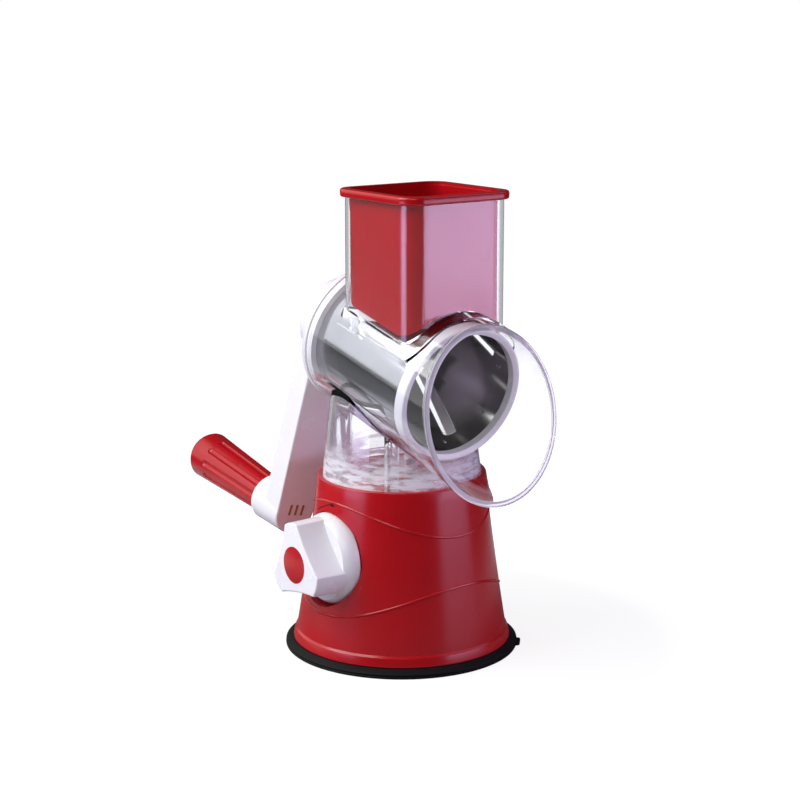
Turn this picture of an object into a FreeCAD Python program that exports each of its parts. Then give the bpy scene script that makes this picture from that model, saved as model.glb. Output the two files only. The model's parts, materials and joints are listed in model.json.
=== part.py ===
"""Rotary drum shredder on a suction base.

Millimetres, +Z up. The origin is the centre of the face that the rubber foot rests on. The drum's
axis lies in the YZ plane and dips towards -Y, where the shreds come out. The crank is at the +Y end
and the suction knob on the -X side. Each piece is one STEP file in parts/.
"""
import FreeCAD, Part
import math
import os

Vec = FreeCAD.Vector
Turn = FreeCAD.Rotation
tiny = 1e-6

# ---------------------------------------------------------------- driving dimensions
# rubber foot
foot_radius = 62.9
foot_edge_height = 2.2
foot_edge_chamfer = 0.7
foot_top = 4.6
foot_shoulder = 0.4
foot_lip_thickness = 2.5
foot_lip_outer = 53.5
foot_lip_top = 10.4
foot_lip_chamfer = 1.6
tab_direction = -42.0
tab_length = 1.8
tab_width = 9.0
tab_thickness = 1.8
tab_height = 0.4
tab_corner = 1.5

# membrane and lift plate
membrane_thickness = 2.0
membrane_height = 1.0
membrane_gap = 0.3
membrane_hole = 6.5
lift_plate_radius = 24.0
lift_plate_thickness = 1.8

# base shell
base_top = 94.5
skirt_radius = 58.9
skirt_upper_radius = 57.6
ridge_height = 9.4
cone_foot_height = 10.4
cone_foot_radius = 56.6
cone_mid_height = 52.0
cone_mid_radius = 50.3
cone_top_radius = 45.0
base_wall = 2.2
base_rim_round = 0.8
deck_top = 84.5
deck_thickness = 2.2
web_thickness = 2.4

# base plate that clamps the foot
base_plate_radius = 53.3
base_plate_thickness = 2.6
base_boss_circle = 46.0
base_boss_radius = 4.0
base_boss_height = 12.0
guide_radius = 8.0
guide_length = 13.0
plate_rib_height = 4.0
plate_rib_thickness = 2.0

# suction knob
knob_height = 54.6
knob_radius = 24.3
knob_rim_x = -43.4
knob_length = 25.5
knob_rim_chamfer = 0.4
knob_rim_height = 2.0
knob_dome_length = 9.0
knob_shoulder_radius = 21.3
knob_dome_share = 0.33
knob_dome_rise = 0.7
knob_wall = 2.4
knob_core_radius = 8.0
knob_hollow_depth = 5.5
lobe_radius = 22.2
lobe_crown = 0.4
lobe_half_angle = 15.5
lobe_round = 0.9
lobe_draft = 1.03
waist_radius = 14.4
lobe_turn = 9.0
knob_pocket_gap = 0.6
knob_floor_gap = 0.5
knob_cap_radius = 9.7
knob_cap_depth = 1.6
knob_cap_edge = 0.2
knob_cap_crown = 0.9
knob_screw_depth = 7.0
knob_screw_seat = 1.5

# cam shaft, its bush and the cam
cam_shaft_radius = 4.5
cam_radius = 8.5
cam_width = 8.0
cam_rest_angle = -45.0
shaft_square = 6.2
shaft_square_start = 4.0
shaft_overhang = 2.4
clip_thickness = 0.9
clip_height = 2.2
clip_groove_depth = 0.7
clip_slot_width = 3.2
lift_travel = 4.0
bush_wall = 2.6
bush_length = 7.1
bush_flange = 3.0
bush_flange_thickness = 2.0

# bracket and yoke that carry the lift
cheek_gap = 14.0
cheek_thickness = 3.0
cheek_half_width = 13.0
cheek_drop = 11.5
bracket_plate_thickness = 3.0
bracket_half_length = 22.0
bracket_screw_y = 17.0
bracket_boss_height = 6.0
yoke_width = 11.0
yoke_wall = 3.7
yoke_play = 0.25
spigot_length = 4.5
lift_rod_radius = 4.0
stud_radius = 2.5
nut_width = 9.0
spring_wire = 0.7
spring_radius = 6.2
spring_turns = 4.5

# drum tube and hood
axis_height = 158.2
axis_tilt = 13.8
tube_radius = 40.4
tube_wall = 2.0
tube_rear = -33.5
tube_bead = 0.9
tube_bead_length = 3.4
tube_bead_round = 0.7
rear_wall = 1.8
hood_start = 52.5
hood_reach = 50.0
hood_flare = 0.8
hood_centre = 79.9
hood_slant = 24.6
hood_lip = 0.8
hood_lip_width = 2.4

# hopper and its saddle
hopper_centre_y = -19.8
hopper_half = 32.2
hopper_corner = 10.7
hopper_wall = 1.8
hopper_top = 243.1
saddle_half = 36.3
saddle_front = -59.3
saddle_rear = 4.6
saddle_corner = 12.0
saddle_thickness = 1.0

# neck
neck_foot_radius = 42.4
neck_top_radius = 38.2
neck_top_height = 136.0
neck_wall = 2.0
column_circle = 31.0
column_radius = 3.8
fin_thickness = 1.6
ledge_height = 98.0
ledge_width = 2.5
ledge_thickness = 1.6

# pusher
pusher_clearance = 0.4
pusher_wall = 1.6
pusher_rest_gap = 0.1
pusher_rim_half = 34.2
pusher_rim_corner = 11.2
pusher_rim_height = 4.4
pusher_rim_round = 1.3
pusher_arch_gap = 0.8
pusher_floor = 2.0
pusher_mouth_step = 1.2

# drum
drum_clearance = 3.4
drum_sheet = 0.8
drum_front = 46.0
drum_rear = -29.2
ring_front = 51.6
ring_wall = 1.9
ring_bevel_width = 3.3
ring_bevel_length = 3.8
ring_clearance = 0.3
ring_sleeve = 5.0
ring_overlap = 2.0
ring_round = 1.4
rear_hub_thickness = 2.0
rear_collar_height = 1.8
rear_boss_radius = 13.0
rear_boss_length = 14.0
slot_count = 4
slot_length = 58.0
slot_width = 7.4
slot_corner = 2.0
slot_centre = 9.0
slot_first_angle = -52.4
slot_slant = 20.8
blade_rise = 1.7
blade_width = 5.4
blade_sheet = 0.7
blade_end_gap = 2.0
blade_skirt = 1.1
blade_reach = 2.0

# drive shaft and its bush
drive_radius = 9.0
drive_hex = 14.0
drive_hex_length = 11.0
drive_square = 12.0
journal_end = -38.0
drive_pilot_depth = 12.0
rear_bush_wall = 3.0
rear_bush_flange = 15.5
rear_bush_flange_thickness = 2.0

# crank
crank_turn = -10.4
arm_front = -47.5
arm_back = -62.5
arm_wall = 2.4
arm_head_radius = 24.2
arm_head_shift = 3.0
arm_root_half_width = 21.4
arm_end_radius = 12.6
arm_throw = 116.3
arm_front_round = 0.8
arm_back_round = 1.5
collar_radius = 20.5
collar_gap = 0.5
crank_boss_radius = 13.0
crank_web = 2.8
crank_socket_gap = 0.5
cover_thickness = 1.6
boss_end = -73.4
boss_end_radius = 13.5
boss_round = 0.8
grip_splay = 4.2
hub_cap_radius = 13.5
hub_cap_plug = 10.9
hub_cap_edge = 0.8
hub_cap_crown = 0.8
mark_width = 1.3
mark_length = 6.4
mark_pitch = 4.1
mark_rise = 0.3
mark_throw = 114.4

# grip
grip_inner_radius = 11.0
grip_outer_radius = 14.0
grip_sleeve_length = 58.5
grip_cap_straight = 8.4
grip_dome = 8.9
grip_gap = 0.4
grip_end_chamfer = 0.8
grip_pin_radius = 4.0
grip_pin_root = 14.0
grip_pin_head_radius = 5.8
grip_pin_head = 2.5
grip_pin_end_gap = 5.0
cap_plug_length = 4.0
flute_count = 10
flute_radius = 2.6
flute_depth = 1.0
flute_end_gap = 3.0

# fits and screws
running_fit = 0.06
loose_fit = 0.3
screw_fit = 0.05
screw_radius = 1.5
screw_head_radius = 3.0
screw_head_height = 2.0
screw_head_round = 0.6
screw_slot_width = 0.8
screw_slot_depth = 0.8
screw_length = 12.0
bracket_screw_length = 8.5
knob_screw_length = 10.0
screw_end_gap = 1.5

# ---------------------------------------------------------------- derived places
foot_lip_inner = foot_lip_outer - foot_lip_thickness
membrane_top = membrane_height + membrane_thickness
lift_plate_top = membrane_top + lift_plate_thickness
base_plate_top = foot_lip_top + base_plate_thickness
guide_top = base_plate_top + guide_length
deck_bottom = deck_top - deck_thickness
bracket_bottom = deck_bottom - bracket_plate_thickness
cheek_outer = cheek_gap / 2 + cheek_thickness

pocket_radius = knob_radius + knob_pocket_gap
pocket_floor_x = knob_rim_x + knob_floor_gap
pocket_back_x = pocket_floor_x + base_wall
shaft_inner_end = -cheek_outer - shaft_overhang
shaft_square_end = knob_length - knob_screw_depth - knob_rim_x
cam_offset = lift_travel / math.sqrt(2)
yoke_centre = knob_height + cam_offset * math.sin(math.radians(cam_rest_angle))
window_half_height = cam_radius + yoke_play
window_half_width = cam_radius + cam_offset + yoke_play
yoke_bottom = yoke_centre - window_half_height - yoke_wall
yoke_top = yoke_centre + window_half_height + yoke_wall

tube_inner = tube_radius - tube_wall
rear_wall_inner = tube_rear + rear_wall
hood_end = hood_start + hood_reach
hopper_inner = hopper_half - hopper_wall
hopper_inner_corner = hopper_corner - hopper_wall
pusher_half = hopper_inner - pusher_clearance
pusher_corner = hopper_inner_corner - pusher_clearance
pusher_arch_radius = tube_radius + pusher_arch_gap

drum_radius = tube_inner - drum_clearance
drum_inner = drum_radius - drum_sheet
ring_opening = drum_inner - ring_wall
ring_radius = tube_inner - ring_clearance
rear_hub_back = drum_rear - rear_hub_thickness
rear_bush_back = tube_rear - rear_bush_flange_thickness

collar_front = tube_rear - collar_gap
cover_seat = arm_back + cover_thickness
crank_screw_seat = cover_seat + screw_head_height + loose_fit
socket_end = crank_screw_seat + crank_web
drive_square_end = socket_end + crank_socket_gap
grip_cap_base = grip_sleeve_length + grip_cap_straight
grip_throw = arm_throw + (arm_front - boss_end) * math.tan(math.radians(grip_splay))
pin_head_low = grip_sleeve_length - grip_pin_end_gap - grip_pin_head

drum_frame = FreeCAD.Placement(Vec(0, 0, axis_height), Turn(Vec(1, 0, 0), 90 + axis_tilt))
shaft_frame = FreeCAD.Placement(Vec(0, 0, knob_height), Turn(Vec(0, 1, 0), -90))
knob_frame = FreeCAD.Placement(Vec(knob_rim_x, 0, knob_height), Turn(Vec(0, 1, 0), -90))
crank_frame = drum_frame.multiply(FreeCAD.Placement(Vec(), Turn(Vec(0, 0, 1), crank_turn)))
grip_in_crank = FreeCAD.Placement(Vec(0, -grip_throw, boss_end), Turn(Vec(1, 0, 0), 180 - grip_splay))
grip_frame = crank_frame.multiply(grip_in_crank)


# ---------------------------------------------------------------- helpers
def rod(radius, low, high, x=0.0, y=0.0):
    """A cylinder along Z from low to high."""
    return Part.makeCylinder(radius, high - low, Vec(x, y, low))


def ring(outer, inner, low, high):
    """A tube along Z."""
    return rod(outer, low, high).cut(rod(inner, low - 1, high + 1))


def block(x0, x1, y0, y1, z0, z1):
    """A box between two corners."""
    return Part.makeBox(x1 - x0, y1 - y0, z1 - z0, Vec(x0, y0, z0))


def line(a, b):
    """A straight edge in the XZ half plane, from (radius, height) to (radius, height)."""
    return Part.makeLine(Vec(a[0], 0, a[1]), Vec(b[0], 0, b[1]))


def arc(a, b, c):
    """An arc edge in the XZ half plane through three (radius, height) points."""
    return Part.Arc(Vec(a[0], 0, a[1]), Vec(b[0], 0, b[1]), Vec(c[0], 0, c[1])).toShape()


def dome(radius, edge, crown):
    """A spherical cap's profile, from its edge to the axis."""
    sphere = (radius ** 2 + crown ** 2) / (2 * crown)
    centre = edge + crown - sphere
    half = math.asin(radius / sphere) / 2
    return arc((radius, edge), (sphere * math.sin(half), centre + sphere * math.cos(half)), (0, edge + crown))


def turned(edges):
    """The solid that a closed profile of edges makes when it is turned round Z."""
    face = Part.Face(Part.Wire(edges))
    return face.revolve(Vec(0, 0, 0), Vec(0, 0, 1), 360)


def turned_points(points):
    """A turned solid whose profile has straight sides only."""
    closed = points + points[:1]
    return turned([line(closed[i], closed[i + 1]) for i in range(len(points))])


def soft_prism(half_x, front, rear, corner, low, high):
    """An upright rectangular prism with rounded corners, from front to rear along Y."""
    prism = block(-half_x, half_x, front, rear, low, high)
    return prism.makeFillet(corner, [e for e in prism.Edges if upright(e)])


def hopper_prism(half, corner, low, high):
    """A square prism on the hopper's centre line."""
    return soft_prism(half, hopper_centre_y - half, hopper_centre_y + half, corner, low, high)


def polygon_prism(sides, across_flats, low, high):
    """A regular prism along Z, such as a hex drive."""
    radius = across_flats / 2 / math.cos(math.pi / sides)
    corners = []
    for i in range(sides + 1):
        angle = 2 * math.pi * (i + 0.5) / sides
        corners.append(Vec(radius * math.cos(angle), radius * math.sin(angle), low))
    face = Part.Face(Part.makePolygon(corners))
    return face.extrude(Vec(0, 0, high - low))


def placed(shape, frame):
    """A copy of the shape, moved from the frame's own coordinates to the model's."""
    copy = shape.copy()
    copy.Placement = frame.multiply(copy.Placement)
    return copy


def fused(shapes):
    """One shape from several that touch or overlap."""
    result = shapes[0].fuse(shapes[1:])
    return result.removeSplitter()


def around(count, radius, first_angle=45.0):
    """Centres of a round pattern."""
    centres = []
    for i in range(count):
        angle = math.radians(first_angle + 360.0 / count * i)
        centres.append((radius * math.cos(angle), radius * math.sin(angle)))
    return centres


def screw(x, y, seat, shank_length):
    """A pan head screw that points up, with the head's bearing face at the seat's height."""
    low = seat - screw_head_height
    head = rod(screw_head_radius, low, seat, x, y)
    head = head.makeFillet(screw_head_round, [e for e in head.Edges if e.BoundBox.ZMax < low + tiny])
    half = screw_slot_width / 2
    slot = block(x - half, x + half, y - screw_head_radius, y + screw_head_radius,
                 low - 1, low + screw_slot_depth)
    return head.cut(slot).fuse(rod(screw_radius, seat, seat + shank_length, x, y)).removeSplitter()


def upright(edge):
    """Whether a straight edge runs along Z."""
    return abs(edge.tangentAt(edge.FirstParameter).z) > 0.9


def flipped(height):
    """A frame at a height on the axis that looks back down it."""
    return FreeCAD.Placement(Vec(0, 0, height), Turn(Vec(1, 0, 0), 180))


def save(shape, name):
    """Write one sub-part."""
    solids = shape.Solids
    result = solids[0] if len(solids) == 1 else Part.makeCompound(solids)
    result.exportStep("parts/" + name + ".step")
    print("%-22s %2d solid(s) %10.1f mm3 valid %s" % (name, len(solids), result.Volume, result.isValid()))


# ---------------------------------------------------------------- base
def cone_solid(inset):
    """The base's outer form, pulled in by inset, open to nothing."""
    edges = [
        line((0, foot_top), (skirt_radius - inset, foot_top)),
        line((skirt_radius - inset, foot_top), (skirt_upper_radius - inset, ridge_height)),
        line((skirt_upper_radius - inset, ridge_height), (cone_foot_radius - inset, cone_foot_height)),
        arc((cone_foot_radius - inset, cone_foot_height), (cone_mid_radius - inset, cone_mid_height),
            (cone_top_radius - inset, base_top)),
        line((cone_top_radius - inset, base_top), (0, base_top)),
        line((0, base_top), (0, foot_top)),
    ]
    return turned(edges)


def base_shell():
    """The tapered shell, with its deck, knob pocket, screw bosses and bracket bosses."""
    outer = cone_solid(0)
    top_edges = [e for e in outer.Edges if e.BoundBox.ZMin > base_top - tiny]
    outer = outer.makeFillet(base_rim_round, [e for e in top_edges if e.BoundBox.XLength > cone_top_radius])
    shell = outer.cut(cone_solid(base_wall))
    deck = rod(cone_top_radius + 1, deck_bottom, deck_top).common(outer)
    pocket_wall = placed(rod(pocket_radius + base_wall, -pocket_back_x, skirt_radius), shaft_frame)
    boss_top = base_plate_top + base_boss_height
    added = [deck, pocket_wall.common(outer)]
    holes = [
        placed(rod(pocket_radius, -pocket_floor_x, skirt_radius), shaft_frame),
        placed(rod(cam_shaft_radius + bush_wall + screw_fit, -pocket_back_x - 1, skirt_radius), shaft_frame),
    ]
    for x, y in around(4, base_boss_circle):
        web = block(base_boss_circle, cone_foot_radius, -web_thickness / 2, web_thickness / 2,
                    base_plate_top, boss_top)
        web.rotate(Vec(), Vec(0, 0, 1), math.degrees(math.atan2(y, x)))
        added.append(rod(base_boss_radius, base_plate_top, boss_top, x, y).fuse(web).common(outer))
        holes.append(rod(screw_radius + screw_fit, base_plate_top - 1, boss_top - screw_end_gap, x, y))
    for side in (-1, 1):
        y = side * bracket_screw_y
        top = deck_top + bracket_boss_height
        added.append(rod(base_boss_radius, deck_bottom, top, 0, y))
        holes.append(rod(screw_radius + screw_fit, deck_bottom - 1, top - screw_end_gap, 0, y))
    for x, y in around(4, column_circle):
        holes.append(rod(screw_radius + loose_fit, deck_bottom - 1, deck_top + 1, x, y))
    return fused([shell] + added).cut(holes)


def suction_foot():
    """The rubber ring that the base stands on, with its lip inside the skirt and its pull tab."""
    profile = [
        (foot_lip_inner, 0), (foot_radius - foot_edge_chamfer, 0), (foot_radius, foot_edge_chamfer),
        (foot_radius, foot_edge_height), (skirt_radius + foot_shoulder, foot_top),
        (foot_lip_outer + foot_lip_chamfer, foot_top), (foot_lip_outer, foot_top + foot_lip_chamfer),
        (foot_lip_outer, foot_lip_top), (foot_lip_inner, foot_lip_top),
    ]
    tab = block(foot_lip_outer, foot_radius + tab_length, -tab_width / 2, tab_width / 2,
                tab_height, tab_height + tab_thickness)
    ends = [e for e in tab.Edges if e.BoundBox.XMin > foot_radius and upright(e)]
    tab = tab.makeFillet(tab_corner, ends)
    tab.rotate(Vec(), Vec(0, 0, 1), tab_direction)
    return fused([turned_points(profile), tab])


def suction_membrane():
    """The thin rubber disc that the lift plate pulls up to make the vacuum."""
    disc = rod(foot_lip_inner - membrane_gap, membrane_height, membrane_top)
    return disc.cut(rod(membrane_hole, membrane_height - 1, membrane_top + 1))


def base_plate():
    """The plate that closes the base, clamps the foot and guides the lift rod."""
    pieces = [rod(base_plate_radius, foot_lip_top, base_plate_top)]
    pieces.append(rod(guide_radius, foot_lip_top, guide_top))
    half = plate_rib_thickness / 2
    for i in range(4):
        rib = block(guide_radius - 1, base_plate_radius - base_boss_radius, -half, half,
                    base_plate_top, base_plate_top + plate_rib_height)
        rib.rotate(Vec(), Vec(0, 0, 1), 90 * i)
        pieces.append(rib)
    holes = [rod(lift_rod_radius + running_fit, 0, guide_top + 1)]
    for x, y in around(4, base_boss_circle):
        holes.append(rod(screw_radius + loose_fit, 0, base_plate_top + 1, x, y))
    return fused(pieces).cut(holes)


def base_screws():
    """Four screws that hold the base plate up against the shell's bosses."""
    places = around(4, base_boss_circle)
    return Part.makeCompound([screw(x, y, foot_lip_top, screw_length) for x, y in places])


# ---------------------------------------------------------------- suction lift
def cam_bracket():
    """The bracket under the deck, whose two cheeks carry the cam shaft."""
    pieces = [block(-cheek_outer, cheek_outer, -bracket_half_length, bracket_half_length,
                    bracket_bottom, deck_bottom)]
    for low in (-cheek_outer, cheek_gap / 2):
        pieces.append(block(low, low + cheek_thickness, -cheek_half_width, cheek_half_width,
                            knob_height - cheek_drop, bracket_bottom))
    holes = [placed(rod(cam_shaft_radius + running_fit, -cheek_outer - 1, cheek_outer + 1), shaft_frame)]
    for side in (-1, 1):
        holes.append(rod(screw_radius + loose_fit, bracket_bottom - 1, deck_bottom + 1,
                         0, side * bracket_screw_y))
    return fused(pieces).cut(holes)


def bracket_screws():
    """Two screws that hold the bracket up against the deck."""
    pair = [screw(0, side * bracket_screw_y, bracket_bottom, bracket_screw_length) for side in (-1, 1)]
    return Part.makeCompound(pair)


def shaft_bush():
    """The flanged bush in the pocket's floor that the knob's shaft turns in."""
    outer = cam_shaft_radius + bush_wall
    sleeve = rod(outer, -pocket_floor_x - bush_length, -pocket_floor_x)
    flange = rod(outer + bush_flange, -pocket_back_x - bush_flange_thickness, -pocket_back_x)
    bore = rod(cam_shaft_radius + running_fit, 0, skirt_radius)
    return placed(fused([sleeve, flange]).cut(bore), shaft_frame)


def cam_shaft():
    """The shaft from the knob to the far cheek, with a square end for the knob."""
    shoulder = shaft_square_start - knob_rim_x
    shaft = rod(cam_shaft_radius, shaft_inner_end, shoulder)
    square = polygon_prism(4, shaft_square, shoulder - 1, shaft_square_end)
    groove_low = -cheek_outer - running_fit - clip_thickness - screw_fit
    groove = ring(cam_shaft_radius + 1, cam_shaft_radius - clip_groove_depth, groove_low, -cheek_outer)
    pilot = rod(screw_radius + screw_fit, shaft_square_end - drive_pilot_depth, shaft_square_end + 1)
    return placed(fused([shaft, square]).cut([groove, pilot]), shaft_frame)


def shaft_clip():
    """The snap ring that keeps the shaft in the bracket."""
    high = -cheek_outer - running_fit
    clip = ring(cam_shaft_radius + clip_height, cam_shaft_radius - clip_groove_depth + screw_fit,
                high - clip_thickness, high)
    half = clip_slot_width / 2
    gap = block(0, cam_shaft_radius + clip_height + 1, -half, half, high - clip_thickness - 1, high + 1)
    return placed(clip.cut(gap), shaft_frame)


def lift_cam():
    """The eccentric on the shaft."""
    angle = math.radians(cam_rest_angle)
    centre = Vec(-cam_width / 2, cam_offset * math.cos(angle), knob_height + cam_offset * math.sin(angle))
    cam = Part.makeCylinder(cam_radius, cam_width, centre, Vec(1, 0, 0))
    return cam.cut(placed(rod(cam_shaft_radius, -cam_width, cam_width), shaft_frame))


def lift_yoke():
    """The frame round the cam that turns its swing into lift."""
    half = yoke_width / 2
    outer_y = window_half_width + yoke_wall
    frame = block(-half, half, -outer_y, outer_y, yoke_bottom, yoke_top)
    window = block(-half - 1, half + 1, -window_half_width, window_half_width,
                   yoke_bottom + yoke_wall, yoke_top - yoke_wall)
    spigot = rod(lift_rod_radius, yoke_top - 1, yoke_top + spigot_length)
    return fused([frame.cut(window), spigot])


def lift_rod():
    """The rod that hangs from the yoke and carries the lift plate."""
    shaft = rod(lift_rod_radius, lift_plate_top, yoke_bottom)
    stud = rod(stud_radius, membrane_height + loose_fit, lift_plate_top + 1)
    return fused([shaft, stud])


def lift_plate():
    """The steel disc that is bonded to the membrane."""
    disc = rod(lift_plate_radius, membrane_top, lift_plate_top)
    return disc.cut(rod(stud_radius + screw_fit, membrane_top - 1, lift_plate_top + 1))


def lift_nut():
    """The nut that holds the lift plate on the rod."""
    nut = polygon_prism(6, nut_width, membrane_height, membrane_top)
    return nut.cut(rod(stud_radius + screw_fit, membrane_height - 1, membrane_top + 1))


def return_spring():
    """The coil that pushes the yoke down again, between the yoke and the bracket's plate."""
    low = yoke_top + spring_wire + screw_fit
    high = bracket_bottom - spring_wire - screw_fit
    helix = Part.makeHelix((high - low) / spring_turns, high - low, spring_radius)
    helix.translate(Vec(0, 0, low))
    profile = Part.Wire([Part.makeCircle(spring_wire, Vec(spring_radius, 0, low), Vec(0, 1, 0))])
    return Part.Wire(helix.Edges).makePipeShell([profile], True, True)


# ---------------------------------------------------------------- suction knob
def polar(angle, radius, height):
    """A point at an angle in degrees and a radius."""
    turn = math.radians(angle)
    return Vec(radius * math.cos(turn), radius * math.sin(turn), height)


def lobe_outline(height, scale):
    """The knob's three-lobed outline at one height of its own frame."""
    edges = []
    shoulder = scale * (lobe_radius - lobe_crown)
    for k in range(3):
        centre = lobe_turn + 120 * k
        start = polar(centre - lobe_half_angle, shoulder, height)
        end = polar(centre + lobe_half_angle, shoulder, height)
        following = polar(centre + 120 - lobe_half_angle, shoulder, height)
        edges.append(Part.Arc(start, polar(centre, scale * lobe_radius, height), end).toShape())
        edges.append(Part.Arc(end, polar(centre + 60, scale * waist_radius, height), following).toShape())
    return Part.Wire(edges)


def suction_knob():
    """The knob: a domed skirt with a three-lobed grip that stands out of it."""
    outlines = [lobe_outline(knob_rim_height, lobe_draft), lobe_outline(knob_length, 1.0)]
    lobes = Part.makeLoft(outlines, True, True)
    lobes = lobes.makeFillet(lobe_round, [e for e in lobes.Edges if e.BoundBox.ZMax > knob_rim_height + 1])
    rim_middle = (knob_rim_height + knob_dome_length) / 2
    dome_middle = knob_radius - (knob_radius - knob_shoulder_radius) * knob_dome_share
    skirt = turned([
        line((0, 0), (knob_radius - knob_rim_chamfer, 0)),
        line((knob_radius - knob_rim_chamfer, 0), (knob_radius, knob_rim_chamfer)),
        line((knob_radius, knob_rim_chamfer), (knob_radius, knob_rim_height)),
        arc((knob_radius, knob_rim_height), (dome_middle, rim_middle + knob_dome_rise),
            (knob_shoulder_radius, knob_dome_length)),
        line((knob_shoulder_radius, knob_dome_length), (0, knob_dome_length)),
        line((0, knob_dome_length), (0, 0)),
    ])
    socket_end = knob_length - knob_screw_depth
    seat = socket_end + knob_screw_seat
    cuts = [
        ring(knob_radius - knob_wall, knob_core_radius, -1, knob_hollow_depth),
        rod(cam_shaft_radius + screw_fit, -1, shaft_square_start),
        polygon_prism(4, shaft_square + 2 * screw_fit, shaft_square_start - 1, socket_end),
        rod(screw_radius + loose_fit, socket_end - 1, knob_length),
        rod(screw_head_radius + loose_fit, seat, knob_length + 1),
        rod(knob_cap_radius + screw_fit, knob_length - knob_cap_depth, knob_length + 1),
    ]
    return placed(lobes.fuse(skirt).cut(cuts), knob_frame)


def knob_cap():
    """The coloured disc that hides the knob's screw."""
    low = knob_length - knob_cap_depth
    edge = knob_length + knob_cap_edge
    cap = turned([
        line((0, low), (knob_cap_radius, low)),
        line((knob_cap_radius, low), (knob_cap_radius, edge)),
        dome(knob_cap_radius, edge, knob_cap_crown),
        line((0, edge + knob_cap_crown), (0, low)),
    ])
    return placed(cap, knob_frame)


def knob_screw():
    """The screw that holds the knob on its shaft."""
    seat = knob_length - knob_screw_depth + knob_screw_seat
    return placed(screw(0, 0, 0, knob_screw_length), knob_frame.multiply(flipped(seat)))


# ---------------------------------------------------------------- upper housing
def drum_cylinder(radius):
    """A long cylinder on the drum's axis, in the model's coordinates."""
    return placed(rod(radius, -hopper_top, hopper_top), drum_frame)


def hood_slab(low, high):
    """A slab square to the slanted mouth of the hood, in the drum's frame."""
    slab = block(-hopper_top, hopper_top, -hopper_top, hopper_top, low, high)
    slab.rotate(Vec(), Vec(1, 0, 0), -hood_slant)
    slab.translate(Vec(0, 0, hood_centre))
    return slab


def tube_form(inset, low):
    """The tube's round form with the slightly flared hood, pulled in by inset."""
    radius = tube_radius - inset
    flare = Part.makeCone(radius, radius + hood_flare, hood_end - hood_start, Vec(0, 0, hood_start))
    return rod(radius, low, hood_start).fuse(flare).removeSplitter()


def drum_tube():
    """The clear tube round the drum, with its rear wall, its rear bead and the slanted hood."""
    bead = rod(tube_radius + tube_bead, tube_rear, tube_rear + tube_bead_length)
    bead = bead.makeFillet(tube_bead_round, [e for e in bead.Edges if e.BoundBox.ZLength < tiny])
    lip = tube_form(-hood_lip, tube_rear).common(hood_slab(-hood_lip_width, 0))
    body = tube_form(0, tube_rear).cut(hood_slab(0, hopper_top))
    shaft_hole = rod(drive_radius + rear_bush_wall + screw_fit, tube_rear - 1, rear_wall_inner + 1)
    shape = fused([body, bead, lip]).cut([tube_form(tube_wall, rear_wall_inner), shaft_hole])
    throat = hopper_prism(hopper_inner, hopper_inner_corner, axis_height, hopper_top)
    return placed(shape, drum_frame).cut(throat)


def feed_hopper():
    """The upright square hopper, with the saddle that welds it to the tube."""
    outer = hopper_prism(hopper_half, hopper_corner, axis_height, hopper_top)
    saddle = soft_prism(saddle_half, saddle_front, saddle_rear, saddle_corner, axis_height, hopper_top)
    saddle = saddle.common(drum_cylinder(tube_radius + saddle_thickness))
    inner = hopper_prism(hopper_inner, hopper_inner_corner, axis_height - 1, hopper_top + 1)
    return fused([outer, saddle]).cut([inner, drum_cylinder(tube_radius)])


def neck_form(inset):
    """The neck's turned form, pulled in by inset."""
    slope = (neck_foot_radius - neck_top_radius) / (neck_top_height - base_top)
    top_radius = neck_foot_radius - slope * (axis_height - base_top)
    return turned_points([
        (0, deck_top), (neck_foot_radius - inset, deck_top), (neck_foot_radius - inset, base_top),
        (top_radius - inset, axis_height), (0, axis_height),
    ])


def housing_neck():
    """The tapered neck that stands on the base's deck, with its screw columns and inner ledge."""
    outer = neck_form(0)
    pieces = [outer.cut(neck_form(neck_wall))]
    ledge = ring(neck_foot_radius, neck_foot_radius - neck_wall - ledge_width, ledge_height,
                 ledge_height + ledge_thickness)
    pieces.append(ledge.common(outer))
    pilots = []
    half = fin_thickness / 2
    for x, y in around(4, column_circle):
        fin = block(column_circle, neck_foot_radius, -half, half, deck_top, axis_height)
        fin.rotate(Vec(), Vec(0, 0, 1), math.degrees(math.atan2(y, x)))
        pieces.append(rod(column_radius, deck_top, axis_height, x, y).fuse(fin).common(outer))
        pilots.append(rod(screw_radius + screw_fit, deck_top - 1, deck_top + screw_length, x, y))
    bead = placed(rod(tube_radius + tube_bead, -hopper_top, tube_rear + tube_bead_length), drum_frame)
    return fused(pieces).cut([drum_cylinder(tube_radius), bead] + pilots)


def housing_screws():
    """Four screws through the deck into the neck's columns."""
    places = around(4, column_circle)
    return Part.makeCompound([screw(x, y, deck_bottom, screw_length) for x, y in places])


def rear_bush():
    """The flanged bush in the tube's rear wall that the drive shaft turns in."""
    sleeve = rod(drive_radius + rear_bush_wall, rear_bush_back, rear_wall_inner)
    flange = rod(rear_bush_flange, rear_bush_back, tube_rear)
    bore = rod(drive_radius + running_fit, rear_bush_back - 1, rear_wall_inner + 1)
    return placed(fused([sleeve, flange]).cut(bore), drum_frame)


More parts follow.
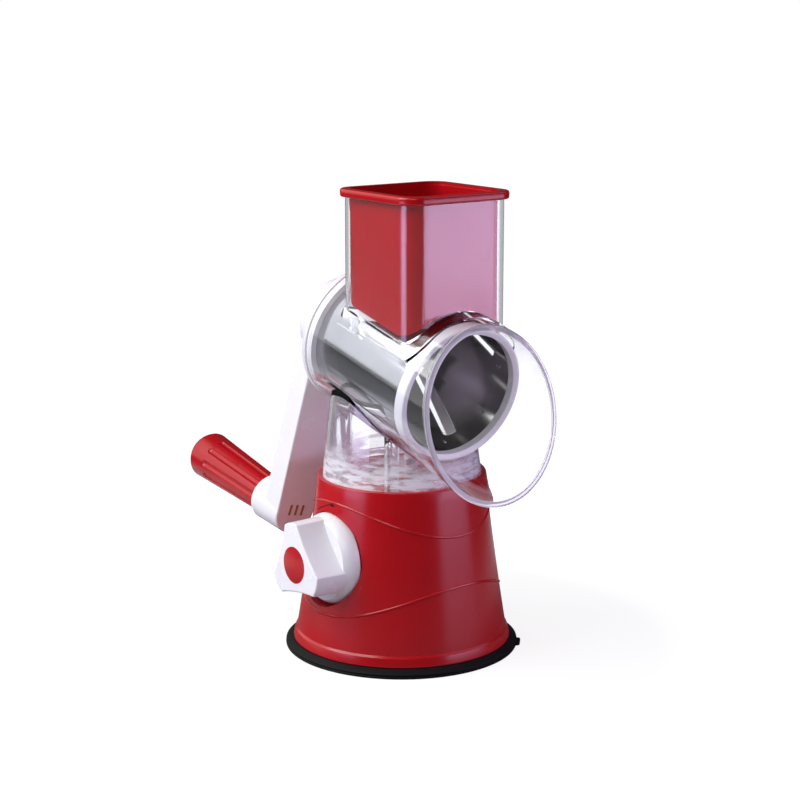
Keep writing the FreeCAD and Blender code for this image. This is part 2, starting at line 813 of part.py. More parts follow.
# ---------------------------------------------------------------- pusher
def food_pusher():
    """The hollow pusher, whose floor is arched to clear the drum."""
    rim_low = hopper_top + pusher_rest_gap
    rim_high = rim_low + pusher_rim_height
    body = hopper_prism(pusher_half, pusher_corner, axis_height, rim_low + 1)
    rim = hopper_prism(pusher_rim_half, pusher_rim_corner, rim_low, rim_high)
    rim = rim.makeFillet(pusher_rim_round, [e for e in rim.Edges if e.BoundBox.ZLength < tiny])
    half = pusher_half - pusher_wall
    corner = pusher_corner - pusher_wall
    hollow = hopper_prism(half, corner, axis_height - 1, rim_high + 1)
    hollow = hollow.cut(drum_cylinder(pusher_arch_radius + pusher_floor))
    mouth = hopper_prism(half + pusher_mouth_step, corner + pusher_mouth_step,
                         rim_high - pusher_wall, rim_high + 1)
    return body.fuse(rim).removeSplitter().cut([drum_cylinder(pusher_arch_radius), hollow, mouth])


# ---------------------------------------------------------------- drum
def blade_place(index):
    """The frame of one slot: x along the slot, y across it, z outwards from the sheet."""
    angle = slot_first_angle + 360.0 / slot_count * index
    tangent = Turn(Vec(0, 0, 1), angle).multiply(Turn(Vec(0, 1, 0), 90))
    along = Turn(Vec(0, 0, 1), 180 + slot_slant)
    centre = polar(angle, drum_radius, slot_centre)
    return FreeCAD.Placement(centre, tangent.multiply(along))


def drum_shell():
    """The steel drum: a deep drawn cup with slanted slicing slots and their raised blades."""
    wall = ring(drum_radius, drum_inner, drum_rear, drum_front)
    end = rod(drum_radius, drum_rear, drum_rear + drum_sheet)
    cuts = [rod(rear_boss_radius + screw_fit, drum_rear - 1, drum_rear + drum_sheet + 1)]
    blades = []
    half_slot = slot_width / 2
    half_blade = slot_length / 2 - blade_end_gap
    tilt = math.degrees(math.asin(blade_rise / blade_width))
    reach = rod(drum_radius + blade_reach, drum_rear, drum_front)
    for index in range(slot_count):
        frame = blade_place(index)
        slot = block(-slot_length / 2, slot_length / 2, -half_slot, half_slot, -slot_width, slot_width)
        slot = slot.makeFillet(slot_corner, [e for e in slot.Edges if upright(e)])
        cuts.append(placed(slot, frame))
        blade = block(-half_blade, half_blade, 0, blade_width, -blade_sheet, 0)
        blade.rotate(Vec(), Vec(1, 0, 0), tilt)
        blade.translate(Vec(0, -half_slot, 0))
        skirt = block(-half_blade, half_blade, -half_slot - blade_skirt / 2, -half_slot + blade_skirt / 2,
                      -drum_sheet - blade_sheet, 0)
        blades.append(placed(blade.fuse(skirt), frame).common(reach))
    return placed(fused([fused([wall, end]).cut(cuts)] + blades), drum_frame)


def drum_front_ring():
    """The white ring that the drum's open edge is seated in."""
    seat_inner = drum_inner - screw_fit
    seat_outer = drum_radius + screw_fit
    sleeve_low = drum_front - ring_sleeve
    lip_low = drum_front - ring_overlap
    corner = ring_front - ring_round
    bend = ring_round * (1 - math.sqrt(0.5))
    profile = [
        line((ring_opening, sleeve_low), (seat_inner, sleeve_low)),
        line((seat_inner, sleeve_low), (seat_inner, drum_front)),
        line((seat_inner, drum_front), (seat_outer, drum_front)),
        line((seat_outer, drum_front), (seat_outer, lip_low)),
        line((seat_outer, lip_low), (ring_radius, lip_low)),
        line((ring_radius, lip_low), (ring_radius, corner)),
        arc((ring_radius, corner), (ring_radius - bend, ring_front - bend),
            (ring_radius - ring_round, ring_front)),
        line((ring_radius - ring_round, ring_front), (ring_opening + ring_bevel_width, ring_front)),
        line((ring_opening + ring_bevel_width, ring_front), (ring_opening, ring_front - ring_bevel_length)),
        line((ring_opening, ring_front - ring_bevel_length), (ring_opening, sleeve_low)),
    ]
    return placed(turned(profile), drum_frame)


def drum_rear_hub():
    """The white hub behind the drum, with the hexagonal socket for the drive shaft."""
    plate = rod(ring_radius, rear_hub_back, drum_rear)
    collar = ring(ring_radius, drum_radius + screw_fit, drum_rear - 1, drum_rear + rear_collar_height)
    boss = rod(rear_boss_radius, rear_hub_back, rear_hub_back + rear_boss_length)
    socket = polygon_prism(6, drive_hex + 2 * screw_fit, rear_hub_back - 1,
                           rear_hub_back + drive_hex_length + crank_socket_gap)
    return placed(fused([plate, collar, boss]).cut(socket), drum_frame)


def drive_shaft():
    """The shaft from the crank through the rear bush into the drum's hub."""
    journal = rod(drive_radius, journal_end, rear_hub_back)
    hexagon = polygon_prism(6, drive_hex, rear_hub_back - 1, rear_hub_back + drive_hex_length)
    square = polygon_prism(4, drive_square, drive_square_end, journal_end + 1)
    pilot = rod(screw_radius + screw_fit, drive_square_end - 1, drive_square_end + drive_pilot_depth)
    return placed(fused([journal, hexagon, square]).cut(pilot), drum_frame)


# ---------------------------------------------------------------- crank
def arm_form(inset, low, high):
    """The crank arm's plan, a round head that tapers to the round end, as a solid."""
    end = arm_end_radius - inset
    root = arm_root_half_width - inset
    side = math.asin((root - end) / arm_throw)
    end_x = end * math.cos(side)
    end_y = -arm_throw + end * math.sin(side)
    corners = [Vec(-root, 0, low), Vec(-end_x, end_y, low), Vec(end_x, end_y, low), Vec(root, 0, low),
               Vec(-root, 0, low)]
    taper = Part.Face(Part.makePolygon(corners)).extrude(Vec(0, 0, high - low))
    head = rod(arm_head_radius - inset, low, high, 0, -arm_head_shift)
    return fused([taper, head, rod(end, low, high, 0, -arm_throw)])


def grip_boss(extra):
    """The splayed cone that the grip's pin is seated in, in the crank's frame."""
    length = (arm_front - boss_end) / math.cos(math.radians(grip_splay))
    cone = Part.makeCone(arm_end_radius + extra, boss_end_radius + extra, length, Vec(0, 0, -length))
    if not extra:
        cone = cone.makeFillet(boss_round, [e for e in cone.Edges if e.BoundBox.ZMin > -tiny])
    beyond = block(-arm_throw, arm_throw, -2 * arm_throw, 0, boss_end + boss_end, arm_front - arm_front_round)
    return placed(cone, grip_in_crank).common(beyond)


def crank_arm():
    """The crank: a tapered arm, open at the back, with the collar, the shaft socket and the grip's boss."""
    arm = arm_form(0, arm_back, arm_front)
    arm = arm.makeFillet(arm_front_round, [e for e in arm.Edges if e.BoundBox.ZMin > arm_front - tiny])
    arm = arm.makeFillet(arm_back_round, [e for e in arm.Edges if e.BoundBox.ZMax < arm_back + tiny])
    hollow = arm_form(arm_wall, arm_back - 1, arm_front - arm_wall)
    boss = rod(crank_boss_radius, cover_seat, journal_end)
    collar = ring(collar_radius, collar_radius - arm_wall, arm_front - 1, collar_front)
    crank = fused([arm.cut(hollow), boss, collar, grip_boss(0)])
    square = polygon_prism(4, drive_square + 2 * screw_fit, socket_end, journal_end + 1)
    square.rotate(Vec(), Vec(0, 0, 1), -crank_turn)
    cuts = [
        square,
        placed(rod(grip_pin_radius, -grip_pin_root, 1), grip_in_crank),
        rod(screw_radius + loose_fit, cover_seat - 1, socket_end + 1),
        rod(screw_head_radius + loose_fit, cover_seat - 1, crank_screw_seat),
    ]
    return placed(crank.cut(cuts), crank_frame)


def crank_cover():
    """The flat cover that closes the back of the arm."""
    plate = arm_form(arm_wall + screw_fit, arm_back, cover_seat)
    hole = rod(hub_cap_plug + screw_fit, arm_back - 1, cover_seat + 1)
    return placed(plate.cut([hole, grip_boss(screw_fit)]), crank_frame)


def crank_hub_cap():
    """The round cap in the cover that hides the crank's screw."""
    edge = hub_cap_edge
    cap = turned([
        line((0, -cover_thickness), (hub_cap_plug, -cover_thickness)),
        line((hub_cap_plug, -cover_thickness), (hub_cap_plug, 0)),
        line((hub_cap_plug, 0), (hub_cap_radius, 0)),
        line((hub_cap_radius, 0), (hub_cap_radius, edge)),
        dome(hub_cap_radius, edge, hub_cap_crown),
        line((0, edge + hub_cap_crown), (0, -cover_thickness)),
    ])
    return placed(cap, drum_frame.multiply(flipped(arm_back)))


def crank_screw():
    """The screw that holds the crank on the drive shaft."""
    return placed(screw(0, 0, crank_screw_seat, screw_length), drum_frame)


def crank_marks():
    """Three small inlaid bars near the end of the arm."""
    bars = []
    for i in (-1, 0, 1):
        x = i * mark_pitch
        bars.append(block(x - mark_width / 2, x + mark_width / 2, -mark_throw - mark_length / 2,
                          -mark_throw + mark_length / 2, arm_front, arm_front + mark_rise))
    return placed(Part.makeCompound(bars), crank_frame)


# ---------------------------------------------------------------- grip
def grip_pin():
    """The steel pin in the crank's boss that the grip turns on."""
    shank = rod(grip_pin_radius, -grip_pin_root, pin_head_low + 1)
    head = rod(grip_pin_head_radius, pin_head_low, pin_head_low + grip_pin_head)
    return placed(fused([shank, head]), grip_frame)


def handle_grip():
    """The fluted sleeve of the grip."""
    foot = grip_gap + grip_end_chamfer
    slope = (grip_outer_radius - grip_inner_radius) / (grip_cap_base - grip_gap)
    end_radius = grip_inner_radius + slope * (grip_sleeve_length - foot)
    body = turned_points([
        (0, grip_gap), (grip_inner_radius - grip_end_chamfer, grip_gap), (grip_inner_radius, foot),
        (end_radius, grip_sleeve_length), (0, grip_sleeve_length),
    ])
    flute_high = grip_sleeve_length - flute_end_gap - flute_radius
    offset = grip_inner_radius + flute_radius - flute_depth
    flutes = []
    for i in range(flute_count):
        flute = rod(flute_radius, -flute_radius, flute_high, offset)
        flute = flute.fuse(Part.makeSphere(flute_radius, Vec(offset, 0, flute_high)))
        flute.rotate(Vec(offset, 0, 0), Vec(0, 1, 0), math.degrees(math.atan(slope)))
        flute.rotate(Vec(), Vec(0, 0, 1), 360.0 / flute_count * i)
        flutes.append(flute)
    bore = rod(grip_pin_radius + running_fit, 0, grip_sleeve_length + 1)
    counterbore = rod(grip_pin_head_radius + loose_fit, pin_head_low - loose_fit, grip_sleeve_length + 1)
    return placed(body.cut(flutes + [bore, counterbore]), grip_frame)


def grip_end_cap():
    """The rounded end of the grip, plugged into the sleeve."""
    slope = (grip_outer_radius - grip_inner_radius) / (grip_cap_base - grip_gap)
    start_radius = grip_inner_radius + slope * (grip_sleeve_length - grip_gap - grip_end_chamfer)
    end_radius = grip_inner_radius + slope * (grip_cap_base - grip_gap - grip_end_chamfer)
    body = turned([
        line((0, grip_sleeve_length), (start_radius, grip_sleeve_length)),
        line((start_radius, grip_sleeve_length), (end_radius, grip_cap_base)),
        dome(end_radius, grip_cap_base, grip_dome),
        line((0, grip_cap_base + grip_dome), (0, grip_sleeve_length)),
    ])
    plug = rod(grip_pin_head_radius + loose_fit - screw_fit, grip_sleeve_length - cap_plug_length,
               grip_sleeve_length + 1)
    return placed(fused([body, plug]), grip_frame)


# ---------------------------------------------------------------- all pieces
pieces = [
    base_shell, suction_foot, suction_membrane, base_plate, base_screws,
    cam_bracket, bracket_screws, shaft_bush, cam_shaft, shaft_clip, lift_cam,
    lift_yoke, lift_rod, lift_plate, lift_nut, return_spring,
    suction_knob, knob_cap, knob_screw,
    drum_tube, feed_hopper, housing_neck, housing_screws, rear_bush,
    food_pusher,
    drum_shell, drum_front_ring, drum_rear_hub, drive_shaft,
    crank_arm, crank_cover, crank_hub_cap, crank_screw, crank_marks,
    grip_pin, handle_grip, grip_end_cap,
]

os.makedirs("parts", exist_ok=True)
for piece in pieces:
    save(piece(), piece.__name__)
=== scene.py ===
"""Rotary drum shredder on a suction base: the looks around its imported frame.

The file is laid out as an add-on. Its panel lists one operator for each piece or group of like pieces,
and main() runs them all. Sizes are in millimetres and become metres where a mesh is made.
"""

import json
import math

import bmesh
import bpy
from mathutils import Matrix, Vector


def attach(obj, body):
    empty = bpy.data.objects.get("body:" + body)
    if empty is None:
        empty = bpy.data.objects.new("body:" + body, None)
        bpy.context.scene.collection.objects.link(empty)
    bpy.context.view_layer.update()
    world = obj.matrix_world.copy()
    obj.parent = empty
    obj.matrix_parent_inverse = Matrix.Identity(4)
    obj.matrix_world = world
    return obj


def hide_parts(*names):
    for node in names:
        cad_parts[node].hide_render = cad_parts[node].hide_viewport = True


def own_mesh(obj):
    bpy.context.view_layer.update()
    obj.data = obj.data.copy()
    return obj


bl_info = {
    "name": "Rotary drum shredder",
    "version": (1, 0, 0),
    "blender": (4, 5, 0),
    "location": "3D View > Sidebar > Shredder",
    "description": "Builds a hand cranked drum shredder, its materials and a studio",
    "category": "Object",
}

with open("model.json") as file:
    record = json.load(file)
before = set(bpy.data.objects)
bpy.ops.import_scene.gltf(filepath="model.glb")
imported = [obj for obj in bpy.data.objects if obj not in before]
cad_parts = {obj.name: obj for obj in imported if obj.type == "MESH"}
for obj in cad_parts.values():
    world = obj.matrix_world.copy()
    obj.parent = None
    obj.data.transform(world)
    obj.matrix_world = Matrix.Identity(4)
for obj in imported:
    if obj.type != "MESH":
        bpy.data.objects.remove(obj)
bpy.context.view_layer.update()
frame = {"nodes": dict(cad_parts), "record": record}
nodes = frame["nodes"]
mm = 0.001

# ------------------------------------------------------------------ places, in millimetres and degrees
base_foot = 10.4  # where the base's tapered side starts
deck_under, deck_top = 82.3, 84.5  # the sunk deck that the neck stands on
base_top = 94.5  # the rim round the deck
base_wall = 2.2
pocket_radius = 24.9  # the round pocket in the base, which the knob turns in
knob_height = 54.6
neck_foot = 42.4  # the neck's outer radius where it stands on the deck
hopper_y = -19.8  # the hopper's centre line
axis_height = 158.2  # the drum's axis, where it crosses the base's
axis_tilt = 13.8  # how far the drum's axis leans down towards its open end
drum_back, drum_front = -29.2, 50.0  # the drum's ends, along its axis
drum_sheet = 0.8
mouth_slant = -24.6  # how far the hood's mouth leans out of square with the drum's axis
mouth_reach = 79.9  # where the mouth's plane meets that axis
to_rear = (0, 0.9711, 0.2385)  # along the drum's axis, towards the crank
to_mouth = (0, -0.982, 0.1874)  # square to the hood's mouth
drum_place = (Matrix.Translation((0, 0, axis_height * mm))
              @ Matrix.Rotation(math.radians(90 + axis_tilt), 4, "X"))
shaft_place = Matrix.Translation((0, 0, knob_height * mm)) @ Matrix.Rotation(math.radians(-90), 4, "Y")

# the mix node's colour sockets, which share their names with its other ones
mix_first, mix_second, mix_result = 6, 7, 2


def linear(code):
    """An sRGB hex colour as linear red, green and blue."""
    parts = [int(code[i:i + 2], 16) / 255 for i in (1, 3, 5)]
    return tuple(c / 12.92 if c <= 0.04045 else ((c + 0.055) / 1.055) ** 2.4 for c in parts)


# ------------------------------------------------------------------ what a user would change
def size(name, description, value):
    """A length in millimetres."""
    return bpy.props.FloatProperty(name=name, description=description, default=value, min=0.01, precision=2)


def tint(name, description, code):
    """A colour."""
    return bpy.props.FloatVectorProperty(name=name, description=description, default=linear(code),
                                         subtype="COLOR", size=3, min=0.0, max=1.0)


class ShredderSizes(bpy.types.PropertyGroup):
    foot_radius: size("Foot radius", "Outer radius of the rubber foot", 62.9)
    wave_width: size("Wave width", "Width of the raised waves on the base", 1.5)
    tube_radius: size("Tube radius", "Outer radius of the clear tube", 40.4)
    tube_wall: size("Tube wall", "Wall of the clear tube", 2.0)
    drum_radius: size("Drum radius", "Outer radius of the steel drum", 35.0)
    ring_opening: size("Ring opening", "Inner radius of the drum's white front ring", 33.0)


class ShredderColours(bpy.types.PropertyGroup):
    red: tint("Red", "Red ABS of the base, pusher, grip and knob disc", "#BA0916")
    white: tint("White", "White ABS of the crank, knob and drum ring", "#FAFAFD")
    clear: tint("Clear", "Clear styrene of the housing", "#FAFBFF")
    steel: tint("Steel", "Stainless sheet of the drum", "#C9CACE")
    rubber: tint("Rubber", "Black rubber of the foot", "#060708")
    marks: tint("Marks", "Tan bars inlaid in the crank arm", "#B07848")
    zinc: tint("Zinc", "Zinc plated steel of screws and shafts", "#A9AAA6")
    floor: tint("Floor", "Studio floor, which glows white where it is seen", "#E6E6E6")


# ------------------------------------------------------------------ nodes and materials
def add_node(tree, kind, inputs=None, stops=(), **settings):
    """One shader node. An input is a value or a socket that feeds it. Stops are a ramp's places and tones."""
    made = tree.nodes.new(kind)
    for key, value in settings.items():
        setattr(made, key, value)
    for key, value in (inputs or {}).items():
        if isinstance(value, bpy.types.NodeSocket):
            tree.links.new(value, made.inputs[key])
        else:
            made.inputs[key].default_value = value
    for i, (place, tone) in enumerate(stops):
        element = made.color_ramp.elements[i] if i < 2 else made.color_ramp.elements.new(place)
        element.position = place
        element.color = (*tone, 1) if isinstance(tone, tuple) else (tone, tone, tone, 1)
    return made


def new_material(name):
    """An empty material, its tree, and the object coordinates in that tree."""
    made = bpy.data.materials.new(name)
    made.use_nodes = True
    tree = made.node_tree
    tree.nodes.clear()
    place = add_node(tree, "ShaderNodeTexCoord")
    return made, tree, place.outputs["Object"]


def shaded(tree, inputs):
    """A principled shader on the material's output."""
    shader = add_node(tree, "ShaderNodeBsdfPrincipled", inputs)
    add_node(tree, "ShaderNodeOutputMaterial", {"Surface": shader.outputs["BSDF"]})


def shade_of(colour, factor):
    """The same colour, lighter or darker."""
    return tuple(min(1.0, c * factor) for c in colour)


def moulded_abs(name, colour, rough_low, rough_high, flow=0.03):
    """ABS from a polished mould: a glossy skin with faint flow marks and a very fine ripple."""
    made, tree, place = new_material(name)
    # flow marks from the gate, some 25 mm wide
    drift = add_node(tree, "ShaderNodeTexNoise", {"Vector": place, "Scale": 40.0, "Detail": 3.0})
    skin = add_node(tree, "ShaderNodeValToRGB", {"Fac": drift.outputs["Fac"]},
                    [(0.3, shade_of(colour, 1 - flow)), (0.7, shade_of(colour, 1 + flow))])
    # gloss that changes over some 8 mm, where hands have polished it
    wear = add_node(tree, "ShaderNodeTexNoise", {"Vector": place, "Scale": 125.0, "Detail": 4.0})
    gloss = add_node(tree, "ShaderNodeMapRange",
                     {"Value": wear.outputs["Fac"], "To Min": rough_low, "To Max": rough_high})
    # the ripple of a polished mould, drawn at 1.2 mm so that it shows
    ripple = add_node(tree, "ShaderNodeTexNoise", {"Vector": place, "Scale": 830.0, "Detail": 2.0})
    bump = add_node(tree, "ShaderNodeBump",
                    {"Height": ripple.outputs["Fac"], "Strength": 0.02, "Distance": 0.05 * mm})
    shaded(tree, {"Base Color": skin.outputs["Color"], "Roughness": gloss.outputs["Result"], "IOR": 1.53,
                  "Normal": bump.outputs["Normal"]})
    return made


def clear_styrene(name, colour):
    """Clear styrene acrylonitrile from a polished mould: almost no tint, faint waves, and three parts painted
    opaque white as glare.
    """
    made, tree, place = new_material(name)
    # sink and flow waves, some 14 mm from crest to crest
    waves = add_node(tree, "ShaderNodeTexNoise", {"Vector": place, "Scale": 70.0, "Detail": 1.0})
    bump = add_node(tree, "ShaderNodeBump",
                    {"Height": waves.outputs["Fac"], "Strength": 0.2, "Distance": 0.15 * mm})
    handled = add_node(tree, "ShaderNodeTexNoise", {"Vector": place, "Scale": 200.0, "Detail": 5.0})
    gloss = add_node(tree, "ShaderNodeMapRange",
                     {"Value": handled.outputs["Fac"], "From Min": 0.45, "To Min": 0.0, "To Max": 0.03})
    # painted reflection: the hood's lip and the rear bead are turned opaque white, for the bright edges of
    # the clear plastic
    lip = along_axis(tree, place, to_mouth, 100.8, 102.2, 0.5)
    bead = along_axis(tree, place, to_rear, 67.5, 67.8, 0.85)
    # painted reflection too at the foot of the neck, in level streaks that fade out upwards
    wide = add_node(tree, "ShaderNodeMapping", {"Vector": place, "Scale": (90.0, 90.0, 420.0)})
    streak = add_node(tree, "ShaderNodeTexNoise",
                      {"Vector": wide.outputs["Vector"], "Scale": 1.0, "Detail": 2.0})
    cloud = add_node(tree, "ShaderNodeMapRange",
                     {"Value": streak.outputs["Fac"], "From Min": 0.44, "From Max": 0.56, "To Min": 0.15,
                      "To Max": 0.75})
    flat = add_node(tree, "ShaderNodeVectorMath", {0: place, 1: (1.0, 1.0, 0.0)}, operation="MULTIPLY")
    flat = add_node(tree, "ShaderNodeVectorMath", {0: flat.outputs["Vector"]}, operation="LENGTH")
    neck = add_node(tree, "ShaderNodeMath", {0: flat.outputs["Value"], 1: 43.0 * mm}, operation="LESS_THAN")
    low_down = along_axis(tree, place, (0, 0, -1), -114.0, -98.0, 1.0)
    foot = add_node(tree, "ShaderNodeMath", {0: low_down, 1: cloud.outputs["Result"]}, operation="MULTIPLY")
    foot = add_node(tree, "ShaderNodeMath", {0: foot.outputs[0], 1: neck.outputs[0]}, operation="MULTIPLY")
    # painted reflection: the clear plastic turns opaque white where this mask is high
    painted_glare = add_node(tree, "ShaderNodeMath", {0: lip, 1: bead}, operation="MAXIMUM")
    painted_glare = add_node(tree, "ShaderNodeMath", {0: painted_glare.outputs[0], 1: foot.outputs[0]}, operation="MAXIMUM")
    passed = add_node(tree, "ShaderNodeMath", {0: 1.0, 1: painted_glare.outputs[0]}, operation="SUBTRACT")
    shaded(tree, {"Base Color": (*colour, 1), "Roughness": gloss.outputs["Result"], "IOR": 1.5,
                  "Transmission Weight": passed.outputs[0], "Normal": bump.outputs["Normal"]})
    return made


def along_axis(tree, place, direction, start, end, level):
    """A level reached between two distances, in millimetres, along a direction from the object's origin."""
    reach = add_node(tree, "ShaderNodeVectorMath", {0: place, 1: direction}, operation="DOT_PRODUCT")
    made = add_node(tree, "ShaderNodeMapRange", {"Value": reach.outputs["Value"], "From Min": start * mm,
                                                 "From Max": end * mm, "To Max": level})
    return made.outputs["Result"]


def drawn_steel(name, colour):
    """Deep drawn stainless sheet, polished on a lathe: fine rings round the axis, and a pale rear plate."""
    made, tree, place = new_material(name)
    # the drum's own frame: its axis along Y, through the origin
    centred = add_node(tree, "ShaderNodeMapping", {"Vector": place, "Location": (0, 0, -axis_height * mm)})
    aligned = add_node(tree, "ShaderNodeMapping",
                       {"Vector": centred.outputs["Vector"], "Rotation": (math.radians(-axis_tilt), 0, 0)})
    # polishing rings, 0.4 mm apart
    along = add_node(tree, "ShaderNodeMapping",
                     {"Vector": aligned.outputs["Vector"], "Scale": (20.0, 2500.0, 20.0)})
    rings = add_node(tree, "ShaderNodeTexNoise",
                     {"Vector": along.outputs["Vector"], "Scale": 1.0, "Detail": 3.0})
    gloss = add_node(tree, "ShaderNodeMapRange",
                     {"Value": rings.outputs["Fac"], "To Min": 0.08, "To Max": 0.2})
    # smears from rinsing, some 12 mm wide
    smear = add_node(tree, "ShaderNodeTexNoise", {"Vector": place, "Scale": 80.0, "Detail": 4.0})
    tone = add_node(tree, "ShaderNodeValToRGB", {"Fac": smear.outputs["Fac"]},
                    [(0.3, shade_of(colour, 0.94)), (0.7, colour)])
    bump = add_node(tree, "ShaderNodeBump",
                    {"Height": rings.outputs["Fac"], "Strength": 0.15, "Distance": 0.01 * mm})
    # painted shade: the wall's inner face, 34.2 mm from the axis, is given a darker, more neutral grey than
    # the outside, for the shade inside the drum
    axial = add_node(tree, "ShaderNodeMapping",
                     {"Vector": aligned.outputs["Vector"], "Scale": (1.0, 0.0, 1.0)})
    radius = add_node(tree, "ShaderNodeVectorMath", {0: axial.outputs["Vector"]}, operation="LENGTH")
    wall = add_node(tree, "ShaderNodeMath", {0: radius.outputs["Value"], 1: 34.2 * mm, 2: 0.08 * mm},
                    operation="COMPARE")
    tone = add_node(tree, "ShaderNodeMix", {"Factor": wall.outputs[0], mix_first: tone.outputs["Color"],
                                            mix_second: (0.52, 0.52, 0.5, 1)}, data_type="RGBA")
    # the rear plate's inner face is pale and matt, and scatters light much as paint does
    plate = along_axis(tree, place, to_rear, 65.9, 66.0, 1.0)
    behind = along_axis(tree, place, to_rear, 66.6, 66.7, 1.0)
    rear = add_node(tree, "ShaderNodeMath", {0: plate, 1: behind}, operation="SUBTRACT", use_clamp=True)
    tone = add_node(tree, "ShaderNodeMix", {"Factor": rear.outputs[0], mix_first: tone.outputs[mix_result],
                                            mix_second: (0.85, 0.85, 0.83, 1)}, data_type="RGBA")
    gloss = add_node(tree, "ShaderNodeMix", {"Factor": rear.outputs[0], "A": gloss.outputs["Result"],
                                             "B": 0.4})
    metal = add_node(tree, "ShaderNodeMath", {0: rear.outputs[0], 1: -0.75, 2: 1.0},
                     operation="MULTIPLY_ADD")
    shaded(tree, {"Base Color": tone.outputs[mix_result], "Metallic": metal.outputs[0],
                  "Roughness": gloss.outputs[0], "Normal": bump.outputs["Normal"]})
    return made


def painted_bright_steel(name, colour):
    """Stainless, ground and left satin with fine scratches; its pale matt colour is a painted highlight that
    makes the blades look bright.
    """
    made, tree, place = new_material(name)
    # grinding scratches, some 0.5 mm apart
    scratch = add_node(tree, "ShaderNodeTexNoise", {"Vector": place, "Scale": 2000.0, "Detail": 3.0})
    gloss = add_node(tree, "ShaderNodeMapRange",
                     {"Value": scratch.outputs["Fac"], "To Min": 0.4, "To Max": 0.6})
    bump = add_node(tree, "ShaderNodeBump",
                    {"Height": scratch.outputs["Fac"], "Strength": 0.3, "Distance": 0.02 * mm})
    # painted highlight: the steel's colour lifted 1.7 times and shaded as a matt non-metal
    shaded(tree, {"Base Color": (*shade_of(colour, 1.7), 1), "Metallic": 0.0,
                  "Roughness": gloss.outputs["Result"], "Normal": bump.outputs["Normal"]})
    return made


def zinc_plate(name, colour):
    """Zinc plated steel: a satin metal with a fine crystalline bloom."""
    made, tree, place = new_material(name)
    bloom = add_node(tree, "ShaderNodeTexVoronoi", {"Vector": place, "Scale": 1600.0})
    tone = add_node(tree, "ShaderNodeValToRGB", {"Fac": bloom.outputs["Distance"]},
                    [(0.0, shade_of(colour, 0.85)), (1.0, colour)])
    smear = add_node(tree, "ShaderNodeTexNoise", {"Vector": place, "Scale": 250.0, "Detail": 3.0})
    gloss = add_node(tree, "ShaderNodeMapRange",
                     {"Value": smear.outputs["Fac"], "To Min": 0.25, "To Max": 0.45})
    shaded(tree, {"Base Color": tone.outputs["Color"], "Metallic": 1.0,
                  "Roughness": gloss.outputs["Result"]})
    return made


def moulded_rubber(name, colour):
    """Moulded nitrile rubber: matt, with a fine grain and a trace of bloom."""
    made, tree, place = new_material(name)
    bloom = add_node(tree, "ShaderNodeTexNoise", {"Vector": place, "Scale": 60.0, "Detail": 5.0})
    tone = add_node(tree, "ShaderNodeValToRGB", {"Fac": bloom.outputs["Fac"]},
                    [(0.35, colour), (0.75, shade_of(colour, 1.4))])
    grain = add_node(tree, "ShaderNodeTexNoise", {"Vector": place, "Scale": 1800.0, "Detail": 2.0})
    bump = add_node(tree, "ShaderNodeBump",
                    {"Height": grain.outputs["Fac"], "Strength": 0.4, "Distance": 0.05 * mm})
    shaded(tree, {"Base Color": tone.outputs["Color"], "Roughness": 0.6, "Specular IOR Level": 0.2,
                  "Normal": bump.outputs["Normal"]})
    return made


def finishes():
    """The materials by slot, made once."""
    made = getattr(finishes, "made", None)
    if made is None:
        colours = bpy.context.scene.shredder_colours
        made = {
            "red_plastic": moulded_abs("abs_red_glossy", tuple(colours.red), 0.19, 0.27),
            "white_plastic": moulded_abs("abs_white_satin", tuple(colours.white), 0.2, 0.32, 0.01),
            "clear_plastic": clear_styrene("styrene_clear", tuple(colours.clear)),
            "stainless_steel": drawn_steel("stainless_drawn_polished", tuple(colours.steel)),
            "zinc_steel": zinc_plate("steel_zinc_plated", tuple(colours.zinc)),
            "rubber": moulded_rubber("rubber_moulded_black", tuple(colours.rubber)),
            "tan_plastic": moulded_abs("abs_tan_inlay", tuple(colours.marks), 0.45, 0.55),
        }
        finishes.made = made
    return made


# ------------------------------------------------------------------ modelling helpers
def deselect():
    """Leave edit mode and select nothing."""
    if bpy.context.object and bpy.context.object.mode == "EDIT":
        bpy.ops.object.mode_set(mode="OBJECT")
    bpy.ops.object.select_all(action="DESELECT")


def work_on(piece):
    """Make a piece the only one selected."""
    deselect()
    piece.select_set(True)
    bpy.context.view_layer.objects.active = piece


def edit(piece):
    """Put a piece alone in edit mode, with all of it selected."""
    work_on(piece)
    bpy.ops.object.mode_set(mode="EDIT")
    bpy.ops.mesh.select_all(action="SELECT")


def choose_edges(test):
    """Select the edges of the piece in edit mode that pass a test."""
    bpy.ops.mesh.select_mode(type="EDGE")
    bpy.ops.mesh.select_all(action="DESELECT")
    mesh = bmesh.from_edit_mesh(bpy.context.object.data)
    for edge in mesh.edges:
        edge.select_set(test(edge))
    mesh.select_flush_mode()
    bmesh.update_edit_mesh(bpy.context.object.data)


def soft(points, steps=5):
    """A profile of (x, y) points; a point with a third number gets its corner rounded by that radius."""
    made = []
    for i, point in enumerate(points):
        if len(point) < 3:
            made.append(tuple(point))
            continue
        corner = Vector(point[:2])
        before = (Vector(points[i - 1][:2]) - corner).normalized()
        after = (Vector(points[(i + 1) % len(points)][:2]) - corner).normalized()
        half = before.angle(after) / 2
        centre = corner + (before + after).normalized() * point[2] / math.sin(half)
        start = corner + before * point[2] / math.tan(half) - centre
        end = corner + after * point[2] / math.tan(half) - centre
        sweep = start.angle_signed(end)
        for k in range(steps + 1):
            turn = -sweep * k / steps
            made.append((centre.x + start.x * math.cos(turn) - start.y * math.sin(turn),
                         centre.y + start.x * math.sin(turn) + start.y * math.cos(turn)))
    return made


